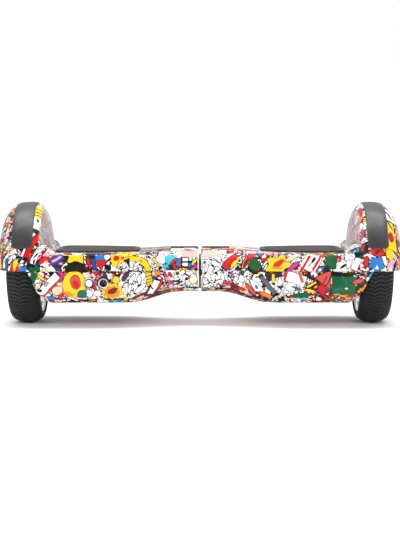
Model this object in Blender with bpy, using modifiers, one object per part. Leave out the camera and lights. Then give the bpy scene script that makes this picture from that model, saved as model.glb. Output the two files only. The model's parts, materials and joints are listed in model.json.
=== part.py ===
"""Self balancing two-wheeled board: two footboards joined by a twisting centre tube.

Metres, +Z up. X runs along the wheel axis from the left half (-X) to the right half
(+X), -Y is the front, and z = 0 is the ground that both tyres stand on. The origin is on
the ground midway between the wheels. Lengths called "out" are measured outward from the
centre plane, so that one description serves both halves.
"""
import math

import bmesh
import bpy
from mathutils import Vector

# --- driving dimensions -------------------------------------------------------------
CLEARANCE = 0.0003          # gap between pieces that touch
WALL = 0.0025               # wall of the moulded shells
DECK_WALL = 0.005           # thickness of the deck before the foot pad recess

WHEEL_OUT = 0.2515          # middle of each wheel
AXLE_Z = 0.0840             # wheel radius, so the tyres stand on z = 0
TYRE_HALF_WIDTH = 0.0235
TYRE_BEAD = 0.0700          # radius where rim and tyre meet

SEAM_Z = 0.0805             # split line of the shells, and the centre tube's axis
NECK_GAP = 0.0018           # half of the gap between the two halves
NECK_HALF_DEPTH = 0.0560
FOOT_HALF_DEPTH = 0.0875
WHEEL_END_HALF_DEPTH = 0.0895
NECK_TOP = 0.1100
DECK_TOP = 0.1060
FILLET_TOP = 0.1180         # where the deck has swept up into the fender
NECK_BOTTOM = 0.0464
FOOT_BOTTOM = 0.0350
CAVITY_END = 0.2158         # inside face of the wall towards the wheel

FENDER_MIDDLE = 0.2450      # crown of the wheel arch
FENDER_RADIUS = 0.0908
FENDER_OUTER_BULGE = 0.0465  # crown to the outside of the dome
FENDER_INNER_BULGE = 0.0295  # crown to the wall beside the foot
OUTER_POWER = 2.9           # superellipse powers of the arch's dome and inner side
INNER_POWER = 3.0
LOWER_WELL_RADIUS = 0.0868
LOWER_WELL_POWER = 8.0      # nearly square corner beside the tyre
ARCH_SIDE_WALL = 0.0020
LOWER_SIDE_WALL = 0.0030

# Half of a foot pad's plan as (out, depth): it narrows towards the neck.
PAD_PLAN = [(0.0885, 0.0300), (0.0970, 0.0440), (0.1400, 0.0620), (0.1720, 0.0690), (0.1965, 0.0690),
            (0.2065, 0.0570)]
PAD_BOTTOM = 0.1055
PAD_TOP = 0.1090
PAD_RECESS_FLOOR = 0.1035
PILLAR_OUT = 0.1480         # posts under a pad that close its light gates
PILLAR_Y = 0.0420
PILLAR_RADIUS = 0.0040

WINDOW_INNER = 0.0035       # indicator window on top of the neck
WINDOW_OUTER = 0.0425
WINDOW_HALF_DEPTH = 0.0180
WINDOW_BOTTOM = 0.1091
WINDOW_TOP = 0.1104

TUBE_RADIUS = 0.0125
TUBE_BORE = 0.0090
TUBE_REACH = 0.0590         # how far the centre tube reaches into each half
AXLE_RADIUS = 0.0075
FIT_GAP = 0.0004            # radial gap between faceted round pieces

SOCKET_OUT = 0.1360
BUTTON_OUT = 0.1560
PANEL_Z = 0.0640            # height of the charging socket and the power button
CORNER_STEPS = 3            # facets round a shell's edge
ARCH_STEPS = 32             # facets of a full turn of the wheel arch
SCREW_PLACES = [(0.1000, -0.0620), (0.1000, 0.0620), (0.1950, -0.0620), (0.1950, 0.0620)]

parts = bpy.data.collections.new("hoverboard")
cutters = bpy.data.collections.new("cutters")


# --- small tools ----------------------------------------------------------------------
def clear_scene():
    for item in list(bpy.data.objects):
        bpy.data.objects.remove(item, do_unlink=True)
    bpy.context.scene.collection.children.link(parts)
    bpy.context.scene.collection.children.link(cutters)


def material(name, colour, roughness, metallic=0.0):
    new = bpy.data.materials.new(name)
    new.use_nodes = True
    shader = new.node_tree.nodes["Principled BSDF"]
    shader.inputs["Base Color"].default_value = (*colour, 1.0)
    shader.inputs["Roughness"].default_value = roughness
    shader.inputs["Metallic"].default_value = metallic
    return new


def add_object(name, mesh, surface=None):
    """A part when it has a surface, otherwise a cutter or an addition to a part."""
    item = bpy.data.objects.new(name, mesh)
    if surface is None:
        cutters.objects.link(item)
        item.hide_render = True
        item.display_type = "WIRE"
    else:
        parts.objects.link(item)
        own = surface.copy()
        own.name = name
        mesh.materials.append(own)
    return item


def mesh_from(name, bm):
    mesh = bpy.data.meshes.new(name)
    bmesh.ops.recalc_face_normals(bm, faces=bm.faces)
    bm.to_mesh(mesh)
    bm.free()
    mesh.shade_smooth()
    mesh.set_sharp_from_angle(angle=math.radians(35))
    return mesh


def add_box(bm, low, high):
    made = bmesh.ops.create_cube(bm, size=1.0)["verts"]
    low, high = Vector(low), Vector(high)
    for vertex in made:
        for axis in range(3):
            vertex.co[axis] = (low[axis] + high[axis]) / 2 + vertex.co[axis] * (high[axis] - low[axis])


def add_cylinder(bm, start, end, radius, segments=16):
    start, end = Vector(start), Vector(end)
    span = end - start
    turn = span.to_track_quat("Z", "Y").to_matrix().to_4x4()
    turn.translation = (start + end) / 2
    bmesh.ops.create_cone(bm, cap_ends=True, segments=segments, radius1=radius, radius2=radius,
                          depth=span.length, matrix=turn)


def solid(name, boxes=(), cylinders=(), surface=None):
    """Boxes as (low, high) and cylinders as (start, end, radius), none touching another."""
    bm = bmesh.new()
    for low, high in boxes:
        lowest = [min(pair) for pair in zip(low, high)]
        highest = [max(pair) for pair in zip(low, high)]
        add_box(bm, lowest, highest)
    for cylinder in cylinders:
        add_cylinder(bm, *cylinder)
    return add_object(name, mesh_from(name, bm), surface)


def boolean(item, other, operation="DIFFERENCE"):
    change = item.modifiers.new(other.name, "BOOLEAN")
    change.operation = operation
    change.object = other
    change.solver = "EXACT"


def bevel(item, width, segments=2):
    change = item.modifiers.new("rounded_edges", "BEVEL")
    change.width = width
    change.segments = segments
    change.limit_method = "ANGLE"
    change.angle_limit = math.radians(40)


def turned(name, outline, centre, steps=32, surface=None, closed=True):
    """Turns (x, radius) points about the X axis; an open outline ends on the axis."""
    points = list(outline)
    area = sum(a[0] * b[1] - b[0] * a[1] for a, b in zip(points, points[1:] + points[:1]))
    if area < 0:
        points.reverse()
    mesh = bpy.data.meshes.new(name)
    edges = [(i, i + 1) for i in range(len(points) - 1)]
    if closed:
        edges.append((len(points) - 1, 0))
    mesh.from_pydata([(radius, 0.0, x) for x, radius in points], edges, [])
    item = add_object(name, mesh, surface)
    item.location = centre
    item.rotation_euler = (0.0, math.pi / 2, 0.0)
    screw = item.modifiers.new("turn", "SCREW")
    screw.steps = steps
    screw.render_steps = steps
    screw.use_merge_vertices = True
    screw.merge_threshold = 0.00001
    screw.use_smooth_shade = True
    return item


def flat_mesh(name, outlines, thickness):
    """A plate from flat outlines in local XY: the first is the rim, the rest are holes."""
    curve = bpy.data.curves.new(name, "CURVE")
    curve.dimensions = "2D"
    curve.fill_mode = "BOTH"
    curve.extrude = thickness / 2
    for outline in outlines:
        spline = curve.splines.new("POLY")
        spline.points.add(len(outline) - 1)
        for point, (x, y) in zip(spline.points, outline):
            point.co = (x, y, 0.0, 1.0)
        spline.use_cyclic_u = True
    guide = bpy.data.objects.new(name, curve)
    cutters.objects.link(guide)
    graph = bpy.context.evaluated_depsgraph_get()
    mesh = bpy.data.meshes.new_from_object(guide.evaluated_get(graph))
    bpy.data.objects.remove(guide, do_unlink=True)
    bm = bmesh.new()
    bm.from_mesh(mesh)
    bmesh.ops.remove_doubles(bm, verts=bm.verts, dist=0.000001)
    bpy.data.meshes.remove(mesh)
    return mesh_from(name, bm)


def cable(name, route, radius, surface):
    """A round cable on a smooth curve through the points of its route."""
    route = [Vector(point) for point in route]
    ends = [2 * route[0] - route[1]] + route + [2 * route[-1] - route[-2]]
    steps = 3
    smooth = []
    for i in range(len(route) - 1):
        before, start, end, after = ends[i:i + 4]
        for k in range(steps):
            t = k / steps
            smooth.append(0.5 * (2 * start + (end - before) * t
                                 + (2 * before - 5 * start + 4 * end - after) * t ** 2
                                 + (3 * start - before - 3 * end + after) * t ** 3))
    smooth.append(route[-1])
    curve = bpy.data.curves.new(name, "CURVE")
    curve.dimensions = "3D"
    curve.bevel_depth = radius
    curve.bevel_resolution = 2
    curve.use_fill_caps = True
    spline = curve.splines.new("POLY")
    spline.points.add(len(smooth) - 1)
    for point, place in zip(spline.points, smooth):
        point.co = (*place, 1.0)
    return add_object(name, curve, surface)


def blend(x, start, end, low, high):
    """Runs smoothly from low at start to high at end, and stays level outside them."""
    t = min(max((x - start) / (end - start), 0.0), 1.0)
    return low + (high - low) * t * t * (3 - 2 * t)


# --- shape of the shells ----------------------------------------------------------------
def half_depth(out):
    waist = blend(out, 0.020, 0.115, NECK_HALF_DEPTH, FOOT_HALF_DEPTH)
    return waist + blend(out, 0.170, 0.215, 0.0, WHEEL_END_HALF_DEPTH - FOOT_HALF_DEPTH)


def top(out):
    deck = blend(out, 0.045, 0.085, NECK_TOP, DECK_TOP)
    return deck + blend(out, 0.207, 0.219, 0.0, FILLET_TOP - DECK_TOP)


def bottom(out):
    """The underside, which climbs round the tyre past the end of the foot section."""
    belly = blend(out, 0.028, 0.098, NECK_BOTTOM, FOOT_BOTTOM)
    chamfer = blend(out, 0.208, 0.240, 0.0, 0.018)
    lug = blend(out, 0.229, 0.2465, 0.0, 0.0265)
    return belly + chamfer + lug


def section(out, upper, inset, flat_z):
    """One ring of the loft as (y, z) points, from the front edge over to the back edge."""
    depth = half_depth(out) - inset
    if upper:
        depth += 2 * CLEARANCE
        crown = top(out) - (DECK_WALL if inset else 0.0)
        round_y = blend(out, 0.045, 0.090, 0.034, 0.014) + blend(out, 0.207, 0.219, 0.0, 0.016)
        round_z = blend(out, 0.045, 0.090, 0.024, 0.0045) + blend(out, 0.207, 0.219, 0.0, 0.0215)
    else:
        crown = bottom(out) + inset
        round_y = blend(out, 0.040, 0.100, 0.034, 0.014)
        round_z = blend(out, 0.040, 0.100, 0.024, 0.012)
    height = abs(crown - flat_z)
    round_y = max(round_y - inset, 0.001)
    round_z = min(max(round_z - inset, 0.001), 0.6 * height)
    draft = 0.0 if upper else 0.03 * height
    direction = 1 if upper else -1
    corner = []
    for k in range(CORNER_STEPS + 1):
        angle = math.pi / 2 * k / CORNER_STEPS
        corner.append((depth - draft - round_y * (1 - math.cos(angle)),
                       crown - direction * round_z * (1 - math.sin(angle))))
    back = [(depth, flat_z)] + corner
    front = [(-y, z) for y, z in back]
    return front + back[::-1]


def shell_loft(name, side, stations, upper, inset, flat_z, surface=None):
    bm = bmesh.new()
    rings = []
    for out in stations:
        ring = section(out, upper, inset, flat_z)
        rings.append([bm.verts.new((side * out, y, z)) for y, z in ring])
    for near, far in zip(rings, rings[1:]):
        for i in range(len(near)):
            j = (i + 1) % len(near)
            bm.faces.new((near[i], near[j], far[j], far[i]))
    bm.faces.new(rings[0])
    bm.faces.new(rings[-1])
    return add_object(name, mesh_from(name, bm), surface)


def spread(start, end, count):
    return [start + (end - start) * i / (count - 1) for i in range(count)]


def arch_radius(out):
    """Radius of the wheel arch's outer surface where it is this far out."""
    if out >= FENDER_MIDDLE:
        power, reach = OUTER_POWER, (out - FENDER_MIDDLE) / FENDER_OUTER_BULGE
    else:
        power, reach = INNER_POWER, (FENDER_MIDDLE - out) / FENDER_INNER_BULGE
    return FENDER_RADIUS * max(1 - reach ** power, 0.0) ** (1 / power)


def arch_outline(side, radius, outer_bulge, inner_bulge, inner_power, count=6):
    """Outline of the domed wheel arch, axis to axis, from its inner to its outer side."""
    outline = []
    for bulge, power, direction in ((inner_bulge, inner_power, -1), (outer_bulge, OUTER_POWER, 1)):
        stretch = []
        for k in range(count):
            angle = math.pi / 2 * k / (count - 1)
            along = FENDER_MIDDLE + direction * bulge * math.cos(angle) ** (2 / power)
            stretch.append((side * along - side * WHEEL_OUT, radius * math.sin(angle) ** (2 / power)))
        outline += stretch if direction < 0 else stretch[-2::-1]
    return outline


# --- pieces of one half -----------------------------------------------------------------
def wheel_centre(side):
    return Vector((side * WHEEL_OUT, 0.0, AXLE_Z))


def pad_outline(side, margin):
    """Plan of a foot pad, or of its recess when there is a margin round it."""
    middle = (PAD_PLAN[0][0] + PAD_PLAN[-1][0]) / 2
    half = [(out + math.copysign(margin, out - middle), depth + margin) for out, depth in PAD_PLAN]
    return [(side * x, -y) for x, y in half] + [(side * x, y) for x, y in half[::-1]]


def pad_plate(name, side, margin, low, high, surface=None):
    mesh = flat_mesh(name, [pad_outline(side, margin)], high - low)
    plate = add_object(name, mesh, surface)
    plate.location = (0.0, 0.0, (low + high) / 2)
    return plate


def axis_hole(name, side, start, end, radius, z, segments=16):
    return solid(name, cylinders=[((side * start, 0, z), (side * end, 0, z), radius, segments)])


def upper_shell(label, side, surface):
    stations = (spread(NECK_GAP, 0.045, 3) + spread(0.055, 0.110, 6)
                + [0.160, 0.205] + spread(0.2095, 0.219, 4) + [0.2450])
    shell = shell_loft(f"{label}_upper_shell", side, stations, True, 0.0, SEAM_Z - 0.002, surface)
    fender = turned(f"{label}_fender_form",
                    arch_outline(side, FENDER_RADIUS, FENDER_OUTER_BULGE, FENDER_INNER_BULGE, INNER_POWER),
                    wheel_centre(side), ARCH_STEPS, closed=False)
    boolean(shell, fender, "UNION")
    well = turned(f"{label}_fender_hollow",
                  arch_outline(side, FENDER_RADIUS - WALL, FENDER_OUTER_BULGE - WALL,
                               FENDER_INNER_BULGE - ARCH_SIDE_WALL, INNER_POWER + 0.2),
                  wheel_centre(side), ARCH_STEPS, closed=False)
    boolean(shell, well)
    inside = [NECK_GAP + WALL] + [out for out in stations[1:] if out < CAVITY_END - 0.003] + [CAVITY_END]
    cavity = shell_loft(f"{label}_upper_hollow", side, inside, True, WALL, SEAM_Z - 0.006)
    boolean(shell, cavity)
    below = [((side * -0.01, -0.2, -0.1), (side * 0.4, 0.2, SEAM_Z + CLEARANCE))]
    boolean(shell, solid(f"{label}_below_seam", boxes=below))
    boolean(shell, pad_plate(f"{label}_pad_recess", side, 0.0008, PAD_RECESS_FLOOR, 0.125))
    pillars = [((side * PILLAR_OUT, y, 0.095), (side * PILLAR_OUT, y, 0.110), PILLAR_RADIUS + 0.001)
               for y in (-PILLAR_Y, PILLAR_Y)]
    boolean(shell, solid(f"{label}_pillar_holes", cylinders=pillars))
    boolean(shell, axis_hole(f"{label}_upper_axle_hole", side, 0.210, 0.225, 0.0098, AXLE_Z))
    boolean(shell, axis_hole(f"{label}_upper_tube_hole", side, -0.002, 0.006, 0.0160, SEAM_Z))
    window = [((side * (WINDOW_INNER - CLEARANCE), -WINDOW_HALF_DEPTH - CLEARANCE, WINDOW_BOTTOM - CLEARANCE),
               (side * (WINDOW_OUTER + CLEARANCE), WINDOW_HALF_DEPTH + CLEARANCE, 0.120))]
    boolean(shell, solid(f"{label}_panel_recess", boxes=window))
    return shell


def lower_shell(label, side, surface, front_holes):
    stations = [NECK_GAP, 0.025] + spread(0.040, 0.112, 6) + [0.160] + spread(0.208, 0.2445, 8)
    shell = shell_loft(f"{label}_lower_shell", side, stations, False, 0.0, SEAM_Z - CLEARANCE, surface)
    well = turned(f"{label}_lower_well",
                  arch_outline(side, LOWER_WELL_RADIUS, FENDER_OUTER_BULGE - WALL,
                               FENDER_INNER_BULGE - LOWER_SIDE_WALL, LOWER_WELL_POWER),
                  wheel_centre(side), ARCH_STEPS, closed=False)
    boolean(shell, well)
    inside = [NECK_GAP + WALL] + [out for out in stations[1:] if out < CAVITY_END - 0.003] + [CAVITY_END]
    boolean(shell, shell_loft(f"{label}_lower_hollow", side, inside, False, WALL, SEAM_Z + 0.003))
    posts = [((side * x, y, 0.0365), (side * x, y, 0.0690), 0.0062) for x, y in SCREW_PLACES]
    boolean(shell, solid(f"{label}_screw_posts", cylinders=posts), "UNION")
    heads = [((side * x, y, 0.030), (side * x, y, 0.0415), 0.0048) for x, y in SCREW_PLACES]
    boolean(shell, solid(f"{label}_screw_counterbores", cylinders=heads))
    bores = [((side * x, y, 0.040), (side * x, y, 0.075), 0.0024, 12) for x, y in SCREW_PLACES]
    boolean(shell, solid(f"{label}_screw_bores", cylinders=bores))
    boolean(shell, axis_hole(f"{label}_lower_axle_hole", side, 0.210, 0.225, 0.0098, AXLE_Z))
    boolean(shell, axis_hole(f"{label}_lower_tube_hole", side, -0.002, 0.006, 0.0160, SEAM_Z))
    if front_holes:
        holes = [((side * out, -0.100, PANEL_Z), (side * out, -0.080, PANEL_Z), radius, 24)
                 for out, radius in ((SOCKET_OUT, 0.0064), (BUTTON_OUT, 0.0064))]
        boolean(shell, solid(f"{label}_front_holes", cylinders=holes))
    return shell


def fender_bumper(label, side, surface):
    """Rubber strip over the crown of the arch, cut level above the deck front and back."""
    rise, low, high = 0.0016, 0.2358, 0.2660
    edge = spread(low, high, 5)
    inner = [(out, arch_radius(out) + CLEARANCE) for out in edge]
    outer = [(out, radius + rise * (0.55 if out in (low, high) else 1.0)) for out, radius in inner]
    outline = [(side * (out - WHEEL_OUT), radius) for out, radius in inner + outer[::-1]]
    strip = turned(f"{label}_fender_bumper", outline, wheel_centre(side), ARCH_STEPS, surface)
    under = [((side * 0.20, -0.2, -0.1), (side * 0.35, 0.2, 0.1125))]
    boolean(strip, solid(f"{label}_bumper_trim", boxes=under))
    return strip


def frame(label, side, surface, tube_bore):
    """Cast chassis: deck plate, boss for the centre tube, axle seat, ribs, screw bosses."""
    name = f"{label}_frame"
    chassis = solid(name, boxes=[((side * 0.085, -0.070, 0.0885), (side * 0.208, 0.070, 0.0915))],
                    surface=surface)
    arms = [((side * 0.025, y * 0.0175, 0.0872), (side * 0.095, y * 0.0360, 0.0920)) for y in (-1, 1)]
    boolean(chassis, solid(f"{label}_frame_arms", boxes=arms), "UNION")
    boss = axis_hole(f"{label}_frame_boss", side, 0.0065, 0.0540, 0.0200, SEAM_Z, 24)
    boolean(chassis, boss, "UNION")
    seat = [((side * 0.170, -0.020, 0.0843), (side * 0.2120, 0.020, 0.0965))]
    boolean(chassis, solid(f"{label}_axle_seat", boxes=seat), "UNION")
    ribs = [((side * 0.105, y - 0.0015, 0.0710), (side * 0.190, y + 0.0015, 0.0890)) for y in (-0.053, 0.053)]
    boolean(chassis, solid(f"{label}_frame_ribs", boxes=ribs), "UNION")
    posts = [((side * x, y, 0.0695), (side * x, y, 0.0890), 0.0055) for x, y in SCREW_PLACES]
    boolean(chassis, solid(f"{label}_frame_posts", cylinders=posts), "UNION")
    bores = [((side * x, y, 0.060), (side * x, y, 0.0810), 0.0024, 12) for x, y in SCREW_PLACES]
    boolean(chassis, solid(f"{label}_frame_post_bores", cylinders=bores))
    boolean(chassis, axis_hole(f"{label}_frame_tube_bore", side, 0.0, 0.070, tube_bore, SEAM_Z, 24))
    boolean(chassis, axis_hole(f"{label}_axle_groove", side, 0.160, 0.220, AXLE_RADIUS + FIT_GAP, AXLE_Z))
    return chassis


def axle_clamp(label, side, surface):
    block = [((side * 0.174, -0.019, 0.0715), (side * 0.2045, 0.019, 0.0838))]
    clamp = solid(f"{label}_axle_clamp", boxes=block, surface=surface)
    heads = [((side * x, y, 0.0685), (side * x, y, 0.0720), 0.0032, 12)
             for x in (0.181, 0.1975) for y in (-0.0135, 0.0135)]
    boolean(clamp, solid(f"{label}_clamp_screw_heads", cylinders=heads), "UNION")
    boolean(clamp, axis_hole(f"{label}_clamp_groove", side, 0.160, 0.220, AXLE_RADIUS + FIT_GAP, AXLE_Z))
    return clamp


def axle(label, side, surface):
    """Fixed axle of the hub motor, stepped down for the outer bearing and chamfered."""
    inner_end, step, outer_end = 0.1720 - WHEEL_OUT, 0.0110, 0.0220
    profile = [(inner_end, 0.0), (inner_end, AXLE_RADIUS - 0.0010), (inner_end + 0.0010, AXLE_RADIUS),
               (step, AXLE_RADIUS), (step + 0.0005, 0.0070), (outer_end - 0.0010, 0.0070),
               (outer_end, 0.0060), (outer_end, 0.0)]
    outline = [(side * x, radius) for x, radius in profile]
    return turned(f"{label}_axle", outline, wheel_centre(side), 24, surface, closed=False)


def stator_outline(teeth, root, mouth, tip, margin):
    """T-shaped teeth round a hub, as a flat outline; margin grows the iron on all sides."""
    outline = []
    for tooth in range(teeth):
        middle = 2 * math.pi * tooth / teeth
        for radius, half_width in ((root, 0.0030), (mouth, 0.0030), (mouth, 0.0092), (tip, 0.0100)):
            reach = radius + (-margin if half_width == 0.0092 else margin)
            angle = math.atan2(half_width + margin, radius)
            outline.append((reach, middle - angle))
        for radius, half_width in ((tip, 0.0100), (mouth, 0.0092), (mouth, 0.0030), (root, 0.0030)):
            reach = radius + (-margin if half_width == 0.0092 else margin)
            angle = math.atan2(half_width + margin, radius)
            outline.append((reach, middle + angle))
    return [(radius * math.cos(angle), radius * math.sin(angle)) for radius, angle in outline]


def round_outline(radius, count):
    return [(radius * math.cos(2 * math.pi * i / count), radius * math.sin(2 * math.pi * i / count))
            for i in range(count)]


def stator(label, side, core_surface, winding_surface):
    """Laminated core with twelve teeth, and the copper that fills its slots."""
    teeth, root, mouth, tip = 12, 0.0350, 0.0520, 0.0560
    core_mesh = flat_mesh(f"{label}_stator_core",
                          [stator_outline(teeth, root, mouth, tip, 0.0),
                           round_outline(AXLE_RADIUS + FIT_GAP, 24)], 0.020)
    core = add_object(f"{label}_stator_core", core_mesh, core_surface)
    core.location = wheel_centre(side)
    core.rotation_euler = (0.0, math.pi / 2, 0.0)
    inner, outer, half_width = root + 0.0012, mouth - 0.0012, 0.0135
    outline = [(-half_width, inner), (half_width, inner), (half_width, outer), (-half_width, outer)]
    copper = turned(f"{label}_stator_windings", outline, wheel_centre(side), 36, winding_surface)
    grown = add_object(f"{label}_winding_relief",
                       flat_mesh(f"{label}_winding_relief",
                                 [stator_outline(teeth, root, mouth, tip, 0.0005)], 0.0208))
    grown.location = wheel_centre(side)
    grown.rotation_euler = (0.0, math.pi / 2, 0.0)
    boolean(copper, grown)
    return [core, copper]


def tyre(label, side, surface):
    """Solid rubber tyre: an elliptical crown on a flat seat."""
    seat = TYRE_BEAD + CLEARANCE
    crown = []
    for k in range(9):
        angle = math.pi * k / 8
        crown.append((-TYRE_HALF_WIDTH * math.cos(angle), seat + (AXLE_Z - seat) * math.sin(angle) ** 0.85))
    outline = [(TYRE_HALF_WIDTH - 0.0045, seat), (-TYRE_HALF_WIDTH + 0.0045, seat)]
    outline += [(x, radius) for x, radius in crown[1:-1]]
    first, last = (-TYRE_HALF_WIDTH, seat + 0.0025), (TYRE_HALF_WIDTH, seat + 0.0025)
    outline = outline[:2] + [first] + outline[2:] + [last]
    return turned(f"{label}_tyre", outline, wheel_centre(side), 40, surface)


def rotor_ring(name, side, half_width, inner, outer, steps, surface, middle=WHEEL_OUT):
    outline = [(-half_width, inner), (half_width, inner), (half_width, outer), (-half_width, outer)]
    return turned(name, outline, Vector((side * middle, 0.0, AXLE_Z)), steps, surface)


def inner_cover(label, side, surface):
    """Dished motor cover on the shell's side, open in the middle for bearing and axle."""
    profile = [(-0.0225, TYRE_BEAD - 0.0005), (-0.0245, 0.0678), (-0.0258, 0.0600), (-0.0262, 0.0260),
               (-0.0275, 0.0200), (-0.0275, 0.0156), (-0.0170, 0.0156), (-0.0190, 0.0600),
               (-0.0165, TYRE_BEAD - 0.0005)]
    outline = [(side * x, radius) for x, radius in profile]
    return turned(f"{label}_wheel_inner_cover", outline, wheel_centre(side), 24, surface)


def outer_cover(label, side, surface):
    """Dished motor cover on the outside, closed over the end of the axle."""
    profile = [(0.0240, 0.0), (0.0240, 0.0156), (0.0170, 0.0156), (0.0190, 0.0600),
               (0.0165, TYRE_BEAD - 0.0005), (0.0180, TYRE_BEAD - 0.0005), (0.0215, 0.0650), (0.0240, 0.0260),
               (0.0265, 0.0190), (0.0270, 0.0)]
    outline = [(side * x, radius) for x, radius in profile]
    return turned(f"{label}_wheel_outer_cover", outline, wheel_centre(side), 24, surface, closed=False)


def foot_pad(label, side, surface):
    pad = pad_plate(f"{label}_foot_pad", side, 0.0, PAD_BOTTOM, PAD_TOP, surface)
    pillars = [((side * PILLAR_OUT, y, 0.0990), (side * PILLAR_OUT, y, 0.1065), PILLAR_RADIUS)
               for y in (-PILLAR_Y, PILLAR_Y)]
    boolean(pad, solid(f"{label}_pad_pillars", cylinders=pillars), "UNION")
    return pad


def sensor_board(label, side, surface):
    """Foot switch board under the pad: two light gates stand below the pad's pillars."""
    board = solid(f"{label}_foot_sensor_board",
                  boxes=[((side * 0.118, -0.056, 0.0918), (side * 0.165, 0.056, 0.0934))], surface=surface)
    low, high = side * (PILLAR_OUT - 0.006), side * (PILLAR_OUT + 0.006)
    gates = [((low, y - 0.005, 0.0930), (high, y + 0.005, 0.0965)) for y in (-PILLAR_Y, PILLAR_Y)]
    boolean(board, solid(f"{label}_light_gates", boxes=gates), "UNION")
    return board


def shell_screw(name, side, out, y, surface):
    """Slotted screw that holds the lower shell up against the frame."""
    x = side * out
    screw = solid(name, cylinders=[((x, y, 0.0385), (x, y, 0.0411), 0.0042, 12)], surface=surface)
    shank = solid(f"{name}_shank", cylinders=[((x, y, 0.0405), (x, y, 0.0790), 0.0019, 6)])
    boolean(screw, shank, "UNION")
    slot = [((x - 0.0022, y - 0.0004, 0.030), (x + 0.0022, y + 0.0004, 0.0394))]
    boolean(screw, solid(f"{name}_slot", boxes=slot))
    return screw


def motor_cable(label, side, surface):
    """Motor lead from the axle's inner end, along the board or the battery to its plug."""
    route = [(0.1715, 0.0, AXLE_Z), (0.1680, 0.001, 0.0838), (0.1665, 0.014, 0.0805),
             (0.1665, 0.033, 0.0765), (0.1560, 0.0445, 0.0760), (0.1300, 0.0450, 0.0765)]
    route += [(0.1160, 0.0330, 0.0762), (0.1062, 0.0300, 0.0762)] if side < 0 else [(0.0750, 0.0450, 0.0765)]
    return cable(f"{label}_motor_cable", [(side * x, y, z) for x, y, z in route], 0.0030, surface)


def indicator_panel(label, side, surface):
    plate = [((side * WINDOW_INNER, -WINDOW_HALF_DEPTH, WINDOW_BOTTOM),
              (side * WINDOW_OUTER, WINDOW_HALF_DEPTH, WINDOW_TOP))]
    panel = solid(f"{label}_indicator_panel", boxes=plate, surface=surface)
    bevel(panel, 0.0005)
    return panel


def half(label, side, looks, tube_bore, front_holes):
    pieces = [
        upper_shell(label, side, looks["shell"]),
        lower_shell(label, side, looks["shell"], front_holes),
        fender_bumper(label, side, looks["bumper"]),
        indicator_panel(label, side, looks["window"]),
        frame(label, side, looks["cast"], tube_bore),
        axle_clamp(label, side, looks["cast"]),
        axle(label, side, looks["steel"]),
        motor_cable(label, side, looks["cable"]),
        sensor_board(label, side, looks["board"]),
    ]
    pieces += stator(label, side, looks["steel"], looks["copper"])
    for number, (out, y) in enumerate(SCREW_PLACES, 1):
        pieces.append(shell_screw(f"{label}_shell_screw_{number}", side, out, y, looks["steel"]))
    return pieces


def wheel(label, side, looks):
    return [
        tyre(label, side, looks["tyre"]),
        rotor_ring(f"{label}_wheel_rim", side, 0.0162, 0.0616, TYRE_BEAD, 24, looks["cover"]),
        rotor_ring(f"{label}_magnet_ring", side, 0.0115, 0.0575, 0.0613, 24, looks["magnet"]),
        inner_cover(label, side, looks["cover"]),
        outer_cover(label, side, looks["cover"]),
        rotor_ring(f"{label}_inner_bearing", side, 0.0030, AXLE_RADIUS + FIT_GAP, 0.0152, 16,
                   looks["steel"], WHEEL_OUT - 0.0215),
        rotor_ring(f"{label}_outer_bearing", side, 0.0030, 0.0074, 0.0152, 16, looks["steel"],
                   WHEEL_OUT + 0.0190),
    ]


# --- pieces that only one half has --------------------------------------------------------
def main_board(surface):
    """Control board hung under the left frame, with heat sink, capacitors and plugs."""
    board = solid("main_board", boxes=[((-0.162, -0.038, 0.0800), (-0.074, 0.038, 0.0816))], surface=surface)
    blocks = [((-0.155, -0.032, 0.0700), (-0.140, 0.032, 0.0805)),
              ((-0.104, 0.018, 0.0730), (-0.090, 0.034, 0.0805)),
              ((-0.104, -0.034, 0.0730), (-0.090, -0.018, 0.0805)),
              ((-0.084, -0.030, 0.0700), (-0.078, 0.030, 0.0805))]
    cans = [((-0.122, y, 0.0620), (-0.122, y, 0.0805), 0.0063) for y in (-0.018, 0.0, 0.018)]
    boolean(board, solid("main_board_components", boxes=blocks, cylinders=cans), "UNION")
    return board


def centre_tube(surface):
    """Steel tube fixed in the left frame; the right frame turns on its other end."""
    outline = [(-TUBE_REACH, TUBE_BORE), (TUBE_REACH, TUBE_BORE), (TUBE_REACH, TUBE_RADIUS),
               (-TUBE_REACH, TUBE_RADIUS)]
    return turned("centre_tube", outline, Vector((0.0, 0.0, SEAM_Z)), 24, surface)


def neck_seal(surface):
    """Flat rubber seal fixed to the left neck, which closes the gap between the halves."""
    low, high, half_depth, corner = 0.0520, 0.0985, 0.0450, 0.0120
    outline = []
    for y, z, start in ((half_depth, high, 0), (-half_depth, high, 90),
                        (-half_depth, low, 180), (half_depth, low, 270)):
        centre = (y - math.copysign(corner, y), z - SEAM_Z + (corner if z == low else -corner))
        for k in range(5):
            angle = math.radians(start + 22.5 * k)
            outline.append((centre[0] + corner * math.cos(angle), centre[1] + corner * math.sin(angle)))
    hole = round_outline(TUBE_RADIUS + 2 * CLEARANCE, 24)
    mesh = flat_mesh("neck_seal", [outline, hole], 2 * (NECK_GAP - CLEARANCE))
    seal = add_object("neck_seal", mesh, surface)
    seal.location = (0.0, 0.0, SEAM_Z)
    seal.rotation_euler = (math.pi / 2, 0.0, math.pi / 2)
    return seal


def tube_ring(name, start, end, surface):
    """Ring on one end of the tube: a lock collar on the left, a retaining ring on the right."""
    gap = TUBE_RADIUS + FIT_GAP
    outline = [(start, gap), (end, gap), (end, 0.0185), (start, 0.0185)]
    return turned(name, outline, Vector((0.0, 0.0, SEAM_Z)), 24, surface)


def tube_bush(name, start, end, surface):
    outline = [(start, TUBE_RADIUS + FIT_GAP), (end, TUBE_RADIUS + FIT_GAP), (end, 0.0156), (start, 0.0156)]
    return turned(name, outline, Vector((0.0, 0.0, SEAM_Z)), 24, surface)


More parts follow.
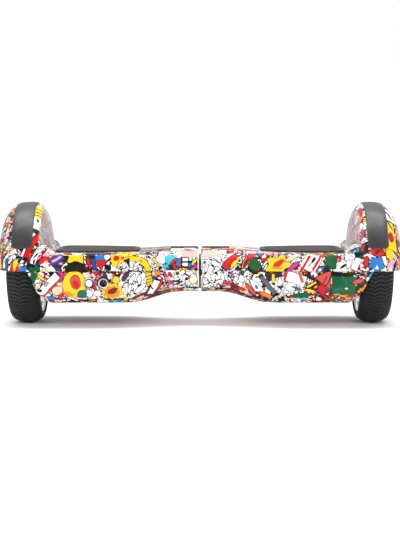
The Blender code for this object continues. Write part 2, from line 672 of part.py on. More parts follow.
def battery(surface):
    """Wrapped pack of ten cells in two layers, under the right frame."""
    envelope = [((0.0655, -0.0360, 0.0480), (0.1580, 0.0360, 0.0860))]
    pack = solid("battery_pack", boxes=envelope, surface=surface)
    bevel(pack, 0.0060, 3)
    return pack


def battery_bracket(surface):
    """Sheet strap under the pack with a foot at each side, which bolts up to the frame."""
    low, high, deep = 0.0440, 0.0880, 0.0450
    outline = [(-deep, high), (-0.0367, high), (-0.0367, low + 0.0034), (0.0367, low + 0.0034),
               (0.0367, high), (deep, high), (deep, high - 0.0015), (0.0385, high - 0.0015),
               (0.0385, low + 0.0012), (-0.0385, low + 0.0012), (-0.0385, high - 0.0015),
               (-deep, high - 0.0015)]
    mesh = flat_mesh("battery_bracket", [outline], 0.020)
    bracket = add_object("battery_bracket", mesh, surface)
    bracket.location = (0.1150, 0.0, 0.0)
    bracket.rotation_euler = (math.pi / 2, 0.0, math.pi / 2)
    return bracket


def charge_socket(looks):
    """Three-pin charging inlet: a cup with pins set back from its mouth, and its ring nut."""
    x = -SOCKET_OUT
    face = -0.0880
    cup = [((x, face, PANEL_Z), (x, -0.0700, PANEL_Z), 0.0058, 24)]
    socket = solid("charge_socket", cylinders=cup, surface=looks["port"])
    mouth = [((x, face - 0.002, PANEL_Z), (x, -0.0760, PANEL_Z), 0.0046, 24)]
    boolean(socket, solid("charge_socket_mouth", cylinders=mouth))
    pins = []
    for k in range(3):
        angle = math.pi / 2 + 2 * math.pi * k / 3
        place = (x + 0.0023 * math.cos(angle), PANEL_Z + 0.0023 * math.sin(angle))
        pins.append(((place[0], -0.0820, place[1]), (place[0], -0.0750, place[1]), 0.0006, 8))
    boolean(socket, solid("charge_socket_pins", cylinders=pins), "UNION")
    nut = [((x, -0.0890, PANEL_Z), (x, -0.0882, PANEL_Z), 0.0072, 24)]
    ring = solid("charge_socket_ring", cylinders=nut, surface=looks["steel"])
    hole = [((x, -0.1, PANEL_Z), (x, -0.07, PANEL_Z), 0.0054, 24)]
    boolean(ring, solid("charge_ring_hole", cylinders=hole))
    return [socket, ring]


def power_button(looks):
    """Sprung round push button and the bezel that guides it."""
    x = -BUTTON_OUT
    sleeve = [((x, -0.0888, PANEL_Z), (x, -0.0780, PANEL_Z), 0.0060, 24)]
    bezel = solid("power_button_bezel", cylinders=sleeve, surface=looks["port"])
    hole = [((x, -0.1, PANEL_Z), (x, -0.07, PANEL_Z), 0.0052, 24)]
    boolean(bezel, solid("power_bezel_hole", cylinders=hole))
    knob = [((x, -0.0904, PANEL_Z), (x, -0.0790, PANEL_Z), 0.0048, 24)]
    button = solid("power_button", cylinders=knob, surface=looks["button"])
    bevel(button, 0.0005)
    return bezel, button


def cross_harness(surface):
    """Battery and signal lead along the axis of the centre tube, to the control board."""
    route = [(-0.0776, 0.0, 0.0748), (-0.0730, 0.0, 0.0750), (-0.0670, 0.0, 0.0775), (-0.0600, 0.0, 0.0800),
             (-0.0500, 0.0, SEAM_Z), (0.0, 0.0, SEAM_Z), (0.0600, 0.0, SEAM_Z)]
    return cable("cross_harness", route, 0.0040, surface)


# --- assembly -----------------------------------------------------------------------------
def hang_on(name, place, pieces):
    """Parents the pieces to an empty on their joint's axis, without moving them."""
    pivot = bpy.data.objects.new(name, None)
    pivot.location = place
    pivot.empty_display_size = 0.03
    parts.objects.link(pivot)
    bpy.context.view_layer.update()
    for piece in pieces:
        piece.parent = pivot
        piece.matrix_parent_inverse = pivot.matrix_world.inverted()
    return pivot


def make_looks():
    return {
        "shell": material("printed_shell", (0.86, 0.80, 0.74), 0.18),
        "bumper": material("bumper_rubber", (0.075, 0.078, 0.082), 0.55),
        "pad": material("pad_rubber", (0.055, 0.058, 0.062), 0.70),
        "tyre": material("tyre_rubber", (0.018, 0.018, 0.019), 0.75),
        "cover": material("motor_cover", (0.80, 0.80, 0.80), 0.30, 0.6),
        "window": material("dark_window", (0.02, 0.02, 0.025), 0.10),
        "cast": material("cast_alloy", (0.55, 0.56, 0.58), 0.45, 1.0),
        "steel": material("steel", (0.60, 0.60, 0.62), 0.30, 1.0),
        "magnet": material("magnet_nickel", (0.45, 0.46, 0.48), 0.25, 1.0),
        "copper": material("enamelled_copper", (0.75, 0.32, 0.12), 0.35, 1.0),
        "bronze": material("bronze_bush", (0.65, 0.45, 0.20), 0.40, 1.0),
        "board": material("circuit_board", (0.02, 0.20, 0.09), 0.45),
        "cable": material("cable_sleeve", (0.03, 0.03, 0.03), 0.55),
        "port": material("port_plastic", (0.02, 0.02, 0.02), 0.35),
        "button": material("button_plastic", (0.85, 0.85, 0.84), 0.25),
        "battery": material("battery_wrap", (0.05, 0.16, 0.45), 0.35),
    }


def main():
    clear_scene()
    looks = make_looks()
    tube_axis = Vector((0.0, 0.0, SEAM_Z))

    half("left", -1, looks, TUBE_RADIUS + FIT_GAP, True)
    main_board(looks["board"])
    centre_tube(looks["steel"])
    neck_seal(looks["bumper"])
    tube_ring("tube_retaining_ring", 0.0550, 0.0570, looks["steel"])
    tube_ring("tube_lock_collar", -0.0570, -0.0545, looks["steel"])
    cross_harness(looks["cable"])
    charge_socket(looks)
    bezel, button = power_button(looks)
    hang_on("button_guide", (-BUTTON_OUT, -0.085, PANEL_Z), [button])
    left_pad = foot_pad("left", -1, looks["pad"])
    hang_on("left_pad_guide", (-PILLAR_OUT, 0.0, PAD_BOTTOM), [left_pad])
    hang_on("left_wheel_axis", wheel_centre(-1), wheel("left", -1, looks))

    right = half("right", 1, looks, 0.0160, False)
    right.append(battery(looks["battery"]))
    right.append(battery_bracket(looks["steel"]))
    right.append(tube_bush("inner_tube_bush", 0.0070, 0.0200, looks["bronze"]))
    right.append(tube_bush("outer_tube_bush", 0.0400, 0.0530, looks["bronze"]))
    right_pad = foot_pad("right", 1, looks["pad"])
    right.append(hang_on("right_pad_guide", (PILLAR_OUT, 0.0, PAD_BOTTOM), [right_pad]))
    right.append(hang_on("right_wheel_axis", wheel_centre(1), wheel("right", 1, looks)))
    hang_on("twist_axis", tube_axis, right)


main()
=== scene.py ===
"""Looks of the self balancing board: printed casings, treaded tyres, pads and materials.

Metres, +Z up, -Y is the front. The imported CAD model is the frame: each piece made here
rides on one of its bodies, and most stand for the CAD node of the same place and size.
"Out" is a distance outward from the centre plane, so one description serves both halves.
"""
import json
import math

import bmesh
import bpy
import numpy as np
from mathutils import Matrix, Vector


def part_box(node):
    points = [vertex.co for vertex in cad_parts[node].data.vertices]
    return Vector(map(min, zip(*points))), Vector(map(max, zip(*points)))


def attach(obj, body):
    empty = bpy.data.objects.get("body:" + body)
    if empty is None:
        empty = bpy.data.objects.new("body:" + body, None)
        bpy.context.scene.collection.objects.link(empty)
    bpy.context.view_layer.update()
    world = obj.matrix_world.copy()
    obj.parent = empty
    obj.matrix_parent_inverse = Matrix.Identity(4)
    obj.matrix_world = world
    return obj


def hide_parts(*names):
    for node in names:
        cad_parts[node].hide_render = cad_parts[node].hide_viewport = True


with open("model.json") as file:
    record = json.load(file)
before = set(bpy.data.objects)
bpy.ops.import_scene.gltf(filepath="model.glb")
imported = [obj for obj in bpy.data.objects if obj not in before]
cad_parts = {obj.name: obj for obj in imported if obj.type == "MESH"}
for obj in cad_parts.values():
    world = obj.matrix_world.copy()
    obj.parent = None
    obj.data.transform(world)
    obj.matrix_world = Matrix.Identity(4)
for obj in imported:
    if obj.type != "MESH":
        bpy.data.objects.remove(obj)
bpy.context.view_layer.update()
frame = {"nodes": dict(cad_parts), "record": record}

SIDES = (("left", -1), ("right", 1))

# --- places read from the frame ---
tyre_low, tyre_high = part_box("right_tyre")
pad_low, pad_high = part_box("right_foot_pad")
window_low, window_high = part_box("right_indicator_panel")
_, upper_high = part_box("right_upper_shell")
tube_low, tube_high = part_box("centre_tube")
button_low, button_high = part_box("power_button")
ring_low, ring_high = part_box("charge_socket_ring")

AXLE_Z = (tyre_low.z + tyre_high.z) / 2
WHEEL_OUT = (tyre_low.x + tyre_high.x) / 2
TYRE_RADIUS = (tyre_high.z - tyre_low.z) / 2
TYRE_HALF_WIDTH = (tyre_high.x - tyre_low.x) / 2
TYRE_BEAD = 0.0703
TREAD_PITCHES = 84
TREAD_DEPTH = 0.0021
FENDER_RADIUS = upper_high.y
FENDER_OUTSIDE = upper_high.x
SEAM_Z = (tube_low.z + tube_high.z) / 2
BUTTON_X = (button_low.x + button_high.x) / 2
SOCKET_X = (ring_low.x + ring_high.x) / 2
PANEL_Z = (ring_low.z + ring_high.z) / 2
PAD_BOTTOM = pad_high.z - 0.0035

# --- shape of the casings, as the CAD describes it ---
SEAM_GAP = 0.0003
FIT_GAP = 0.0003
WALL = 0.0025
DECK_WALL = 0.005
NECK_GAP = 0.0018
WAIST_START = 0.020
WAIST_END = 0.115
NECK_HALF_DEPTH = 0.0560
FOOT_HALF_DEPTH = 0.0875
WHEEL_END_HALF_DEPTH = 0.0895
NECK_TOP = 0.1100
DECK_TOP = 0.1060
FILLET_TOP = 0.1180
NECK_BOTTOM = 0.0464
FOOT_BOTTOM = 0.0350
CAVITY_END = 0.2158
LOWER_END = 0.2445
FENDER_MIDDLE = 0.2450
OUTER_POWER = 2.9
INNER_POWER = 3.0
OUTER_BULGE = FENDER_OUTSIDE - FENDER_MIDDLE
INNER_BULGE = 0.0295
LOWER_WELL_RADIUS = 0.0868
LOWER_WELL_POWER = 8.0
AXLE_HOLE_RADIUS = 0.0098
TUBE_HOLE_RADIUS = 0.016
PANEL_HOLE_RADIUS = 0.0064
PAD_RECESS_FLOOR = 0.1035
PAD_RECESS_MARGIN = 0.0008
PAD_STEM_OUT = 0.148
PAD_STEM_YS = (-0.042, 0.042)
PAD_PLAN = [(0.0885, 0.0300), (0.0970, 0.0440), (0.1400, 0.0620), (0.1720, 0.0690), (0.1965, 0.0690),
            (0.2065, 0.0570)]
SCREW_PLACES = [(0.1000, -0.0620), (0.1000, 0.0620), (0.1950, -0.0620), (0.1950, 0.0620)]


def blend(x, start, end, low, high):
    """Runs smoothly from low at start to high at end, and stays level outside them."""
    t = min(max((x - start) / (end - start), 0.0), 1.0)
    return low + (high - low) * t * t * (3 - 2 * t)


def half_depth(out):
    """Half the depth of a casing at this distance outward."""
    waist = blend(out, WAIST_START, WAIST_END, NECK_HALF_DEPTH, FOOT_HALF_DEPTH)
    return waist + blend(out, 0.170, 0.215, 0.0, WHEEL_END_HALF_DEPTH - FOOT_HALF_DEPTH)


def top(out):
    """Height of a casing's top: it dips from the neck to the deck and rises to the arch."""
    deck = blend(out, 0.045, 0.085, NECK_TOP, DECK_TOP)
    return deck + blend(out, 0.207, 0.219, 0.0, FILLET_TOP - DECK_TOP)


def bottom(out):
    """Height of a casing's base: it sinks from the neck to the foot and rises under the arch."""
    belly = blend(out, 0.028, 0.098, NECK_BOTTOM, FOOT_BOTTOM)
    chamfer = blend(out, 0.208, 0.240, 0.0, 0.018)
    lug = blend(out, 0.229, 0.2465, 0.0, 0.0265)
    return belly + chamfer + lug


def section(out, upper, inset, flat_z, corner_steps=9, flat_steps=14):
    """One ring of a casing as (y, z) points, from the front edge over to the back edge."""
    depth = half_depth(out) - inset
    if upper:
        depth += 2 * SEAM_GAP
        crown = top(out) - (DECK_WALL if inset else 0.0)
        round_y = blend(out, 0.045, 0.090, 0.034, 0.014) + blend(out, 0.207, 0.219, 0.0, 0.016)
        round_z = blend(out, 0.045, 0.090, 0.024, 0.0045) + blend(out, 0.207, 0.219, 0.0, 0.0215)
    else:
        crown = bottom(out) + inset
        round_y = blend(out, 0.040, 0.100, 0.034, 0.014)
        round_z = blend(out, 0.040, 0.100, 0.024, 0.012)
    height = abs(crown - flat_z)
    round_y = max(round_y - inset, 0.001)
    round_z = min(max(round_z - inset, 0.001), 0.6 * height)
    draft = 0.0 if upper else 0.03 * height
    direction = 1 if upper else -1
    back = [(depth, flat_z)]
    for k in range(corner_steps + 1):
        angle = math.pi / 2 * k / corner_steps
        back.append((depth - draft - round_y * (1 - math.cos(angle)),
                     crown - direction * round_z * (1 - math.sin(angle))))
    flat_edge = back[-1][0]
    middle = [(-flat_edge + 2 * flat_edge * k / flat_steps, crown) for k in range(1, flat_steps)]
    front = [(-y, z) for y, z in back]
    return front + middle + back[::-1]


def spread(start, end, count):
    return [start + (end - start) * i / (count - 1) for i in range(count)]


def arch_radius(out):
    """Radius of the wheel arch's outer surface where it is this far out."""
    if out >= FENDER_MIDDLE:
        power, reach = OUTER_POWER, (out - FENDER_MIDDLE) / OUTER_BULGE
    else:
        power, reach = INNER_POWER, (FENDER_MIDDLE - out) / INNER_BULGE
    return FENDER_RADIUS * max(1 - reach ** power, 0.0) ** (1 / power)


def arch_outline(radius, outer_bulge, inner_bulge, inner_power, count=17):
    """The wheel arch's outline as (out, radius), from its inner face over to its outer face."""
    outline = []
    for bulge, power, direction in ((inner_bulge, inner_power, -1), (outer_bulge, OUTER_POWER, 1)):
        stretch = []
        for k in range(count):
            angle = math.pi / 2 * k / (count - 1)
            along = FENDER_MIDDLE + direction * bulge * math.cos(angle) ** (2 / power)
            stretch.append((along, radius * math.sin(angle) ** (2 / power)))
        outline += stretch if direction < 0 else stretch[-2::-1]
    return outline


# --- mesh tools ---
def smooth_shade(mesh, sharp):
    """Shades a mesh smooth, apart from edges that turn by more than this many degrees."""
    mesh.shade_smooth()
    mesh.set_sharp_from_angle(angle=math.radians(sharp))


def new_object(name, bm, sharp=35):
    """Makes a scene object of a bmesh and frees the bmesh."""
    bmesh.ops.recalc_face_normals(bm, faces=bm.faces)
    mesh = bpy.data.meshes.new(name)
    bm.to_mesh(mesh)
    bm.free()
    smooth_shade(mesh, sharp)
    item = bpy.data.objects.new(name, mesh)
    bpy.context.scene.collection.objects.link(item)
    return item


def loft(bm, rings):
    """Joins rings of (x, y, z) points with quads and caps the two ends."""
    made = [[bm.verts.new(point) for point in ring] for ring in rings]
    for near, far in zip(made, made[1:]):
        for i in range(len(near)):
            j = (i + 1) % len(near)
            bm.faces.new((near[i], near[j], far[j], far[i]))
    bm.faces.new(made[0])
    bm.faces.new(made[-1])


def turn(bm, outline, centre, steps, axis="X", closed=False):
    """Turns (along, radius) points round the X or Y axis; radius 0 points become poles."""
    rings = []
    for along, radius in outline:
        ring = []
        for i in range(steps if radius > 0 else 1):
            angle = 2 * math.pi * i / steps
            u, v = radius * math.cos(angle), radius * math.sin(angle)
            local = (along, u, v) if axis == "X" else (u, along, v)
            ring.append(bm.verts.new(Vector(local) + Vector(centre)))
        rings.append(ring)
    pairs = list(zip(rings, rings[1:]))
    if closed:
        pairs.append((rings[-1], rings[0]))
    for near, far in pairs:
        for i in range(steps):
            j = (i + 1) % steps
            corners = [near[i % len(near)], near[j % len(near)], far[j % len(far)], far[i % len(far)]]
            corners = list(dict.fromkeys(corners))
            if len(corners) > 2:
                bm.faces.new(corners)


def cylinder(bm, start, end, radius, segments=32):
    start, end = Vector(start), Vector(end)
    span = end - start
    place = span.to_track_quat("Z", "Y").to_matrix().to_4x4()
    place.translation = (start + end) / 2
    bmesh.ops.create_cone(bm, cap_ends=True, segments=segments, radius1=radius, radius2=radius,
                          depth=span.length, matrix=place)


def block(bm, low, high):
    low, high = Vector(low), Vector(high)
    size = [abs(high[k] - low[k]) for k in range(3)]
    place = Matrix.Translation((low + high) / 2) @ Matrix.Diagonal((*size, 1.0))
    return bmesh.ops.create_cube(bm, size=1.0, matrix=place)["verts"]


def tool_object(build):
    """A cutter made by a function that fills a bmesh; carve() removes it again."""
    bm = bmesh.new()
    build(bm)
    return new_object("tool", bm)


def hole(start, end, radius, segments=32):
    """A Boolean step that drills a round hole."""
    return "DIFFERENCE", tool_object(lambda bm: cylinder(bm, start, end, radius, segments))


def carve(item, steps):
    """Applies Boolean steps, each (operation, tool), and leaves a plain mesh."""
    for operation, tool in steps:
        change = item.modifiers.new("carve", "BOOLEAN")
        change.operation = operation
        change.object = tool
        change.solver = "EXACT"
    graph = bpy.context.evaluated_depsgraph_get()
    mesh = bpy.data.meshes.new_from_object(item.evaluated_get(graph))
    item.modifiers.clear()
    item.data = mesh
    for _, tool in steps:
        bpy.data.objects.remove(tool, do_unlink=True)
    smooth_shade(mesh, 33)
    return item


def finish_piece(item, surface, body, replaced=None):
    """Gives a piece its material and its body, and hides the CAD node that it stands for."""
    item.data.materials.clear()
    item.data.materials.append(surface)
    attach(item, body)
    if replaced:
        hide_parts(replaced)
    return item


# --- shader tools ---
class Shader:
    """Short calls for building one material's nodes; arguments are sockets or numbers."""

    def __init__(self, name):
        self.material = bpy.data.materials.new(name)
        self.material.use_nodes = True
        self.tree = self.material.node_tree
        self.surface = self.tree.nodes["Principled BSDF"]

    def node(self, kind, **settings):
        made = self.tree.nodes.new(kind)
        for key, value in settings.items():
            setattr(made, key, value)
        return made

    def plug(self, value, socket):
        if isinstance(value, bpy.types.NodeSocket):
            self.tree.links.new(value, socket)
        else:
            socket.default_value = value

    def math(self, operation, first, second=0.0):
        made = self.node("ShaderNodeMath", operation=operation)
        self.plug(first, made.inputs[0])
        self.plug(second, made.inputs[1])
        return made.outputs[0]

    def plus(self, first, second):
        return self.math("ADD", first, second)

    def minus(self, first, second):
        return self.math("SUBTRACT", first, second)

    def times(self, first, second):
        return self.math("MULTIPLY", first, second)

    def larger(self, first, second):
        return self.math("MAXIMUM", first, second)

    def absolute(self, value):
        return self.math("ABSOLUTE", value)

    def above(self, value, limit):
        return self.math("GREATER_THAN", value, limit)

    def below(self, value, limit):
        return self.math("LESS_THAN", value, limit)

    def vector(self, operation, first, second=None):
        made = self.node("ShaderNodeVectorMath", operation=operation)
        self.plug(first, made.inputs[0])
        if second is not None:
            self.plug(second, made.inputs[1])
        return made.outputs["Value" if operation in ("LENGTH", "DOT_PRODUCT") else "Vector"]

    def mix(self, factor, first, second):
        made = self.node("ShaderNodeMix", data_type="RGBA")
        self.plug(factor, made.inputs[0])
        self.plug((*first, 1.0) if isinstance(first, tuple) else first, made.inputs[6])
        self.plug((*second, 1.0) if isinstance(second, tuple) else second, made.inputs[7])
        return made.outputs[2]

    def split(self, vector):
        return self.node_after("ShaderNodeSeparateXYZ", vector).outputs

    def join(self, x, y, z=0.0):
        made = self.node("ShaderNodeCombineXYZ")
        for value, socket in zip((x, y, z), made.inputs):
            self.plug(value, socket)
        return made.outputs[0]

    def node_after(self, kind, source):
        made = self.node(kind)
        self.plug(source, made.inputs[0])
        return made

    def place(self):
        return self.node("ShaderNodeTexCoord").outputs["Object"]

    def smooth_range(self, value, start, end, low, high):
        made = self.node("ShaderNodeMapRange", interpolation_type="SMOOTHSTEP")
        for socket, number in zip(made.inputs, (value, start, end, low, high)):
            self.plug(number, socket)
        return made.outputs[0]

    def noise(self, vector, scale, detail=2.0, dimensions="3D", output=0):
        made = self.node("ShaderNodeTexNoise", noise_dimensions=dimensions)
        self.plug(vector, made.inputs["Vector"])
        made.inputs["Scale"].default_value = scale
        made.inputs["Detail"].default_value = detail
        return made.outputs[output]

    def uneven(self, place, scale, detail, low, high):
        """Wanders softly between two values."""
        return self.smooth_range(self.noise(place, scale, detail), 0.3, 0.7, low, high)

    def voronoi(self, vector, scale, feature="F1", metric="EUCLIDEAN", dimensions="2D"):
        made = self.node("ShaderNodeTexVoronoi", voronoi_dimensions=dimensions, feature=feature)
        if feature == "F1":
            made.distance = metric
        self.plug(vector, made.inputs["Vector"])
        made.inputs["Scale"].default_value = scale
        return made

    def ramp(self, value, stops, kind="CONSTANT"):
        made = self.node_after("ShaderNodeValToRGB", value)
        made.color_ramp.interpolation = kind
        elements = made.color_ramp.elements
        while len(elements) < len(stops):
            elements.new(1.0)
        for element, (position, colour) in zip(elements, stops):
            element.position = position
            element.color = (*colour, 1.0)
        return made.outputs[0]

    def bump(self, height, strength, distance):
        made = self.node("ShaderNodeBump")
        made.inputs["Strength"].default_value = strength
        made.inputs["Distance"].default_value = distance
        self.plug(height, made.inputs["Height"])
        self.tree.links.new(made.outputs[0], self.surface.inputs["Normal"])

    def set(self, **values):
        for key, value in values.items():
            self.plug(value, self.surface.inputs[key.replace("_", " ")])


# --- palette ---
WHITE = (0.79, 0.79, 0.78)
CREAM = (0.74, 0.62, 0.48)
PEACH = (0.82, 0.52, 0.38)
BLACK = (0.003, 0.003, 0.004)
GREY = (0.30, 0.31, 0.33)
SLATE = (0.08, 0.09, 0.14)
PURPLE = (0.045, 0.02, 0.09)
YELLOW = (0.86, 0.51, 0.006)
ORANGE = (0.80, 0.20, 0.015)
RED = (0.54, 0.006, 0.012)
SALMON = (0.52, 0.065, 0.06)
MAROON = (0.16, 0.01, 0.02)
MAGENTA = (0.50, 0.016, 0.26)
PINK = (0.72, 0.32, 0.40)
BLUE = (0.004, 0.16, 0.50)
NAVY = (0.02, 0.04, 0.22)
CYAN = (0.02, 0.42, 0.64)
GREEN = (0.002, 0.085, 0.022)
TEAL = (0.005, 0.11, 0.10)
LIME = (0.45, 0.60, 0.04)
BLUSH = (0.44, 0.35, 0.32)
GREY_BEIGE = (0.42, 0.40, 0.34)
DOODLES = "doodles"


def in_equal_steps(colours):
    return [(k / len(colours), colour) for k, colour in enumerate(colours)]


# --- printed artwork ---
FLANK_SHIFT = 0.5
FLANK_TILT = 0.80
CUT_OUT_SCALE = 44.0


def art_place(shader, upper):
    """Unrolls a casing's skin: across is x, up runs on from the front over the top or base.

    The flanks are unrolled further along, clear of the shapes placed on the front.
    """
    coordinates = shader.node("ShaderNodeTexCoord")
    x, y, z = shader.split(coordinates.outputs["Object"])
    normal = shader.split(coordinates.outputs["Normal"])
    out = shader.absolute(x)
    waist = shader.smooth_range(out, WAIST_START, WAIST_END, NECK_HALF_DEPTH, FOOT_HALF_DEPTH)
    depth = shader.minus(waist, shader.absolute(y))
    up = shader.math("ADD" if upper else "SUBTRACT", z, depth)
    skin = shader.join(x, up)
    sideways = shader.above(shader.absolute(normal[0]), FLANK_TILT)
    flank = shader.join(shader.plus(y, FLANK_SHIFT), z)
    chosen = shader.node("ShaderNodeMix", data_type="VECTOR")
    shader.plug(sideways, chosen.inputs[0])
    shader.plug(skin, chosen.inputs[4])
    shader.plug(flank, chosen.inputs[5])
    return chosen.outputs[1]


def warped(shader, place, scale, amount):
    """Shifts a place by a little smooth noise, so that printed outlines look hand drawn."""
    swirls = shader.noise(place, scale, 1.0, "2D", "Color")
    centred = shader.vector("SUBTRACT", swirls, (0.5, 0.5, 0.5))
    return shader.vector("ADD", place, shader.vector("MULTIPLY", centred, (amount, amount, 0.0)))


def stripes(shader, place, angle, pitch, share):
    """1 on stripes across this angle, 0 between them."""
    direction = (math.cos(angle) / pitch, math.sin(angle) / pitch, 0.0)
    along = shader.vector("DOT_PRODUCT", place, direction)
    return shader.below(shader.math("FRACT", along), share)


def crowded_background(shader, place, seed):
    """Overlapping cut-out shapes, stripes, dots and pen lines over a white ground."""
    shifted = shader.vector("ADD", place, (seed * 1.37, seed * 0.71, 0.0))
    loose = warped(shader, shifted, 70.0, 0.007)
    large = shader.voronoi(loose, CUT_OUT_SCALE, metric="MANHATTAN")
    red, green, blue = shader.node_after("ShaderNodeSeparateColor", large.outputs["Color"]).outputs
    colour = shader.ramp(red, in_equal_steps(
        [WHITE, YELLOW, BLACK, RED, CREAM, WHITE, BLACK, WHITE, PEACH, GREEN, WHITE, ORANGE, WHITE, PINK]))
    diagonal = stripes(shader, loose, 0.8, 0.0042, 0.45)
    diagonal = shader.times(diagonal, shader.above(green, 0.78))
    colour = shader.mix(diagonal, colour, RED)
    hatching = stripes(shader, loose, -0.6, 0.0026, 0.40)
    hatching = shader.times(hatching, shader.above(blue, 0.74))
    colour = shader.mix(hatching, colour, BLACK)
    edges = shader.voronoi(loose, CUT_OUT_SCALE, "DISTANCE_TO_EDGE")
    middle = shader.voronoi(warped(shader, shifted, 120.0, 0.006), 78.0)
    pick, size, _ = shader.node_after("ShaderNodeSeparateColor", middle.outputs["Color"]).outputs
    drawn = shader.above(size, 0.42)
    reach = middle.outputs["Distance"]
    rim = shader.times(drawn, shader.below(reach, 0.46))
    inside = shader.times(drawn, shader.below(reach, 0.385))
    blobs = shader.ramp(pick, in_equal_steps(
        [RED, WHITE, YELLOW, BLACK, CREAM, BLUE, BLACK, GREEN, ORANGE, WHITE, MAGENTA, BLACK, CYAN,
         PURPLE]))
    colour = shader.mix(rim, colour, BLACK)
    colour = shader.mix(inside, colour, blobs)
    small = shader.voronoi(warped(shader, shifted, 200.0, 0.003), 165.0, metric="CHEBYCHEV")
    pick_small, size_small, _ = shader.node_after("ShaderNodeSeparateColor", small.outputs["Color"]).outputs
    specks = shader.times(shader.above(size_small, 0.48),
                         shader.below(small.outputs["Distance"], 0.30))
    colour = shader.mix(specks, colour, shader.ramp(pick_small, in_equal_steps(
        [BLACK, WHITE, RED, BLACK, BLACK, YELLOW, NAVY, WHITE, MAROON, TEAL])))
    pen = shader.absolute(shader.minus(shader.noise(shifted, 95.0, 1.5, "2D"), 0.5))
    colour = shader.mix(shader.below(pen, 0.022), colour, BLACK)
    cut = shader.below(edges.outputs["Distance"], 0.038)
    return shader.mix(cut, colour, BLACK)


def distance_in(shader, kind, local):
    """How far a point is from a shape's middle, as a share of the way to its outline."""
    if kind == "disc":
        return shader.vector("LENGTH", local)
    x, y, _ = shader.split(local)
    if kind == "bar":
        return shader.larger(shader.absolute(x), shader.absolute(y))
    if kind == "gem":
        return shader.plus(shader.absolute(x), shader.absolute(y))
    if kind == "dome":
        below = shader.times(y, -40.0)
        return shader.larger(shader.vector("LENGTH", local), below)
    if kind == "wedge":
        rising = shader.plus(shader.absolute(x), shader.times(y, 0.5))
        return shader.larger(shader.plus(rising, 0.5), shader.times(y, -1.0))
    if kind == "leaf":
        upper = shader.vector("LENGTH", shader.vector("ADD", local, (0.0, 0.75, 0.0)))
        lower = shader.vector("LENGTH", shader.vector("ADD", local, (0.0, -0.75, 0.0)))
        return shader.times(shader.larger(upper, lower), 0.8)
    angle = shader.math("ARCTAN2", y, x)
    points = {"sun": 9.0, "splash": 5.0}[kind]
    wave = shader.math("SINE", shader.times(angle, points))
    swell = shader.math("MULTIPLY_ADD", wave, 0.20 if kind == "splash" else 0.10)
    swell.node.inputs[2].default_value = 1.0
    return shader.times(shader.vector("LENGTH", local), swell)


def stamp(shader, colour, place, shape, doodles):
    """Lays one shape over the artwork; a rim is a black outline of that width."""
    kind, x, up, half_width, half_height, degrees, fill, rim = shape
    mapping = shader.node("ShaderNodeMapping", vector_type="TEXTURE")
    shader.plug(place, mapping.inputs["Vector"])
    mapping.inputs["Location"].default_value = (x / 1000, up / 1000, 0.0)
    mapping.inputs["Rotation"].default_value = (0.0, 0.0, math.radians(degrees))
    mapping.inputs["Scale"].default_value = (half_width / 1000, half_height / 1000, 1.0)
    reach = distance_in(shader, kind, mapping.outputs[0])
    if rim:
        colour = shader.mix(shader.below(reach, 1.0), colour, BLACK)
    inner = 1.0 - rim / min(half_width, half_height)
    return shader.mix(shader.below(reach, inner), colour, doodles if fill == DOODLES else fill)


def faded_arch(shader, colour, objects):
    """Stretches the print thin and pale where the film is drawn down the inside of a wheel arch."""
    x, _, z = shader.split(objects)
    normal = shader.split(shader.node("ShaderNodeTexCoord").outputs["Normal"])
    inward = shader.smooth_range(shader.times(normal[0], x), -0.21, -0.15, 0.66, 0.0)
    raised = shader.smooth_range(z, 0.108, 0.122, 0.0, 1.0)
    streaks = shader.noise(shader.vector("MULTIPLY", objects, (1.0, 1.0, 0.15)), 170.0, 3.0)
    pale = shader.ramp(streaks, [(0.0, (0.12, 0.15, 0.17)), (0.45, (0.27, 0.25, 0.29)),
                                 (0.55, (0.48, 0.42, 0.41)), (0.7, (0.20, 0.26, 0.29))], "LINEAR")
    return shader.mix(shader.times(inward, raised), colour, pale)


def pen_doodles(shader, place):
    """Thin black and grey pen lines over white, like inked leaves and petals."""
    loose = warped(shader, place, 130.0, 0.012)
    petals = shader.voronoi(shader.vector("MULTIPLY", loose, (1.0, 0.62, 1.0)), 150.0, "DISTANCE_TO_EDGE")
    inked = shader.below(petals.outputs["Distance"], 0.075)
    wander = shader.absolute(shader.minus(shader.noise(place, 210.0, 2.0, "2D"), 0.5))
    patchy = shader.above(shader.noise(place, 60.0, 1.0, "2D"), 0.47)
    faint = shader.times(shader.below(wander, 0.030), patchy)
    blots = shader.above(shader.noise(loose, 130.0, 1.0, "2D"), 0.655)
    colour = shader.mix(faint, WHITE, GREY)
    return shader.mix(shader.larger(inked, blots), colour, BLACK)


def printed_plastic(name, upper, seed, shapes):
    """White gloss plastic with the printed film under a clear coat."""
    shader = Shader(name)
    place = art_place(shader, upper)
    colour = crowded_background(shader, place, seed)
    drawn = warped(shader, place, 110.0, 0.0022)
    doodles = pen_doodles(shader, place)
    for shape in shapes:
        colour = stamp(shader, colour, drawn, shape, doodles)
    objects = shader.place()
    if upper:
        colour = faded_arch(shader, colour, objects)
    grime = shader.noise(objects, 30.0, 5.0)
    tone = shader.smooth_range(grime, 0.3, 0.7, 0.0, 0.07)
    colour = shader.mix(tone, colour, (0.35, 0.32, 0.28))
    shader.set(Base_Color=colour, Specular_IOR_Level=0.08, Coat_Weight=0.03, Coat_Roughness=0.06,
               Roughness=shader.smooth_range(shader.noise(objects, 55.0, 3.0), 0.35, 0.65, 0.22, 0.34))
    shader.bump(shader.noise(objects, 420.0, 2.0), 0.05, 0.0004)
    return shader.material
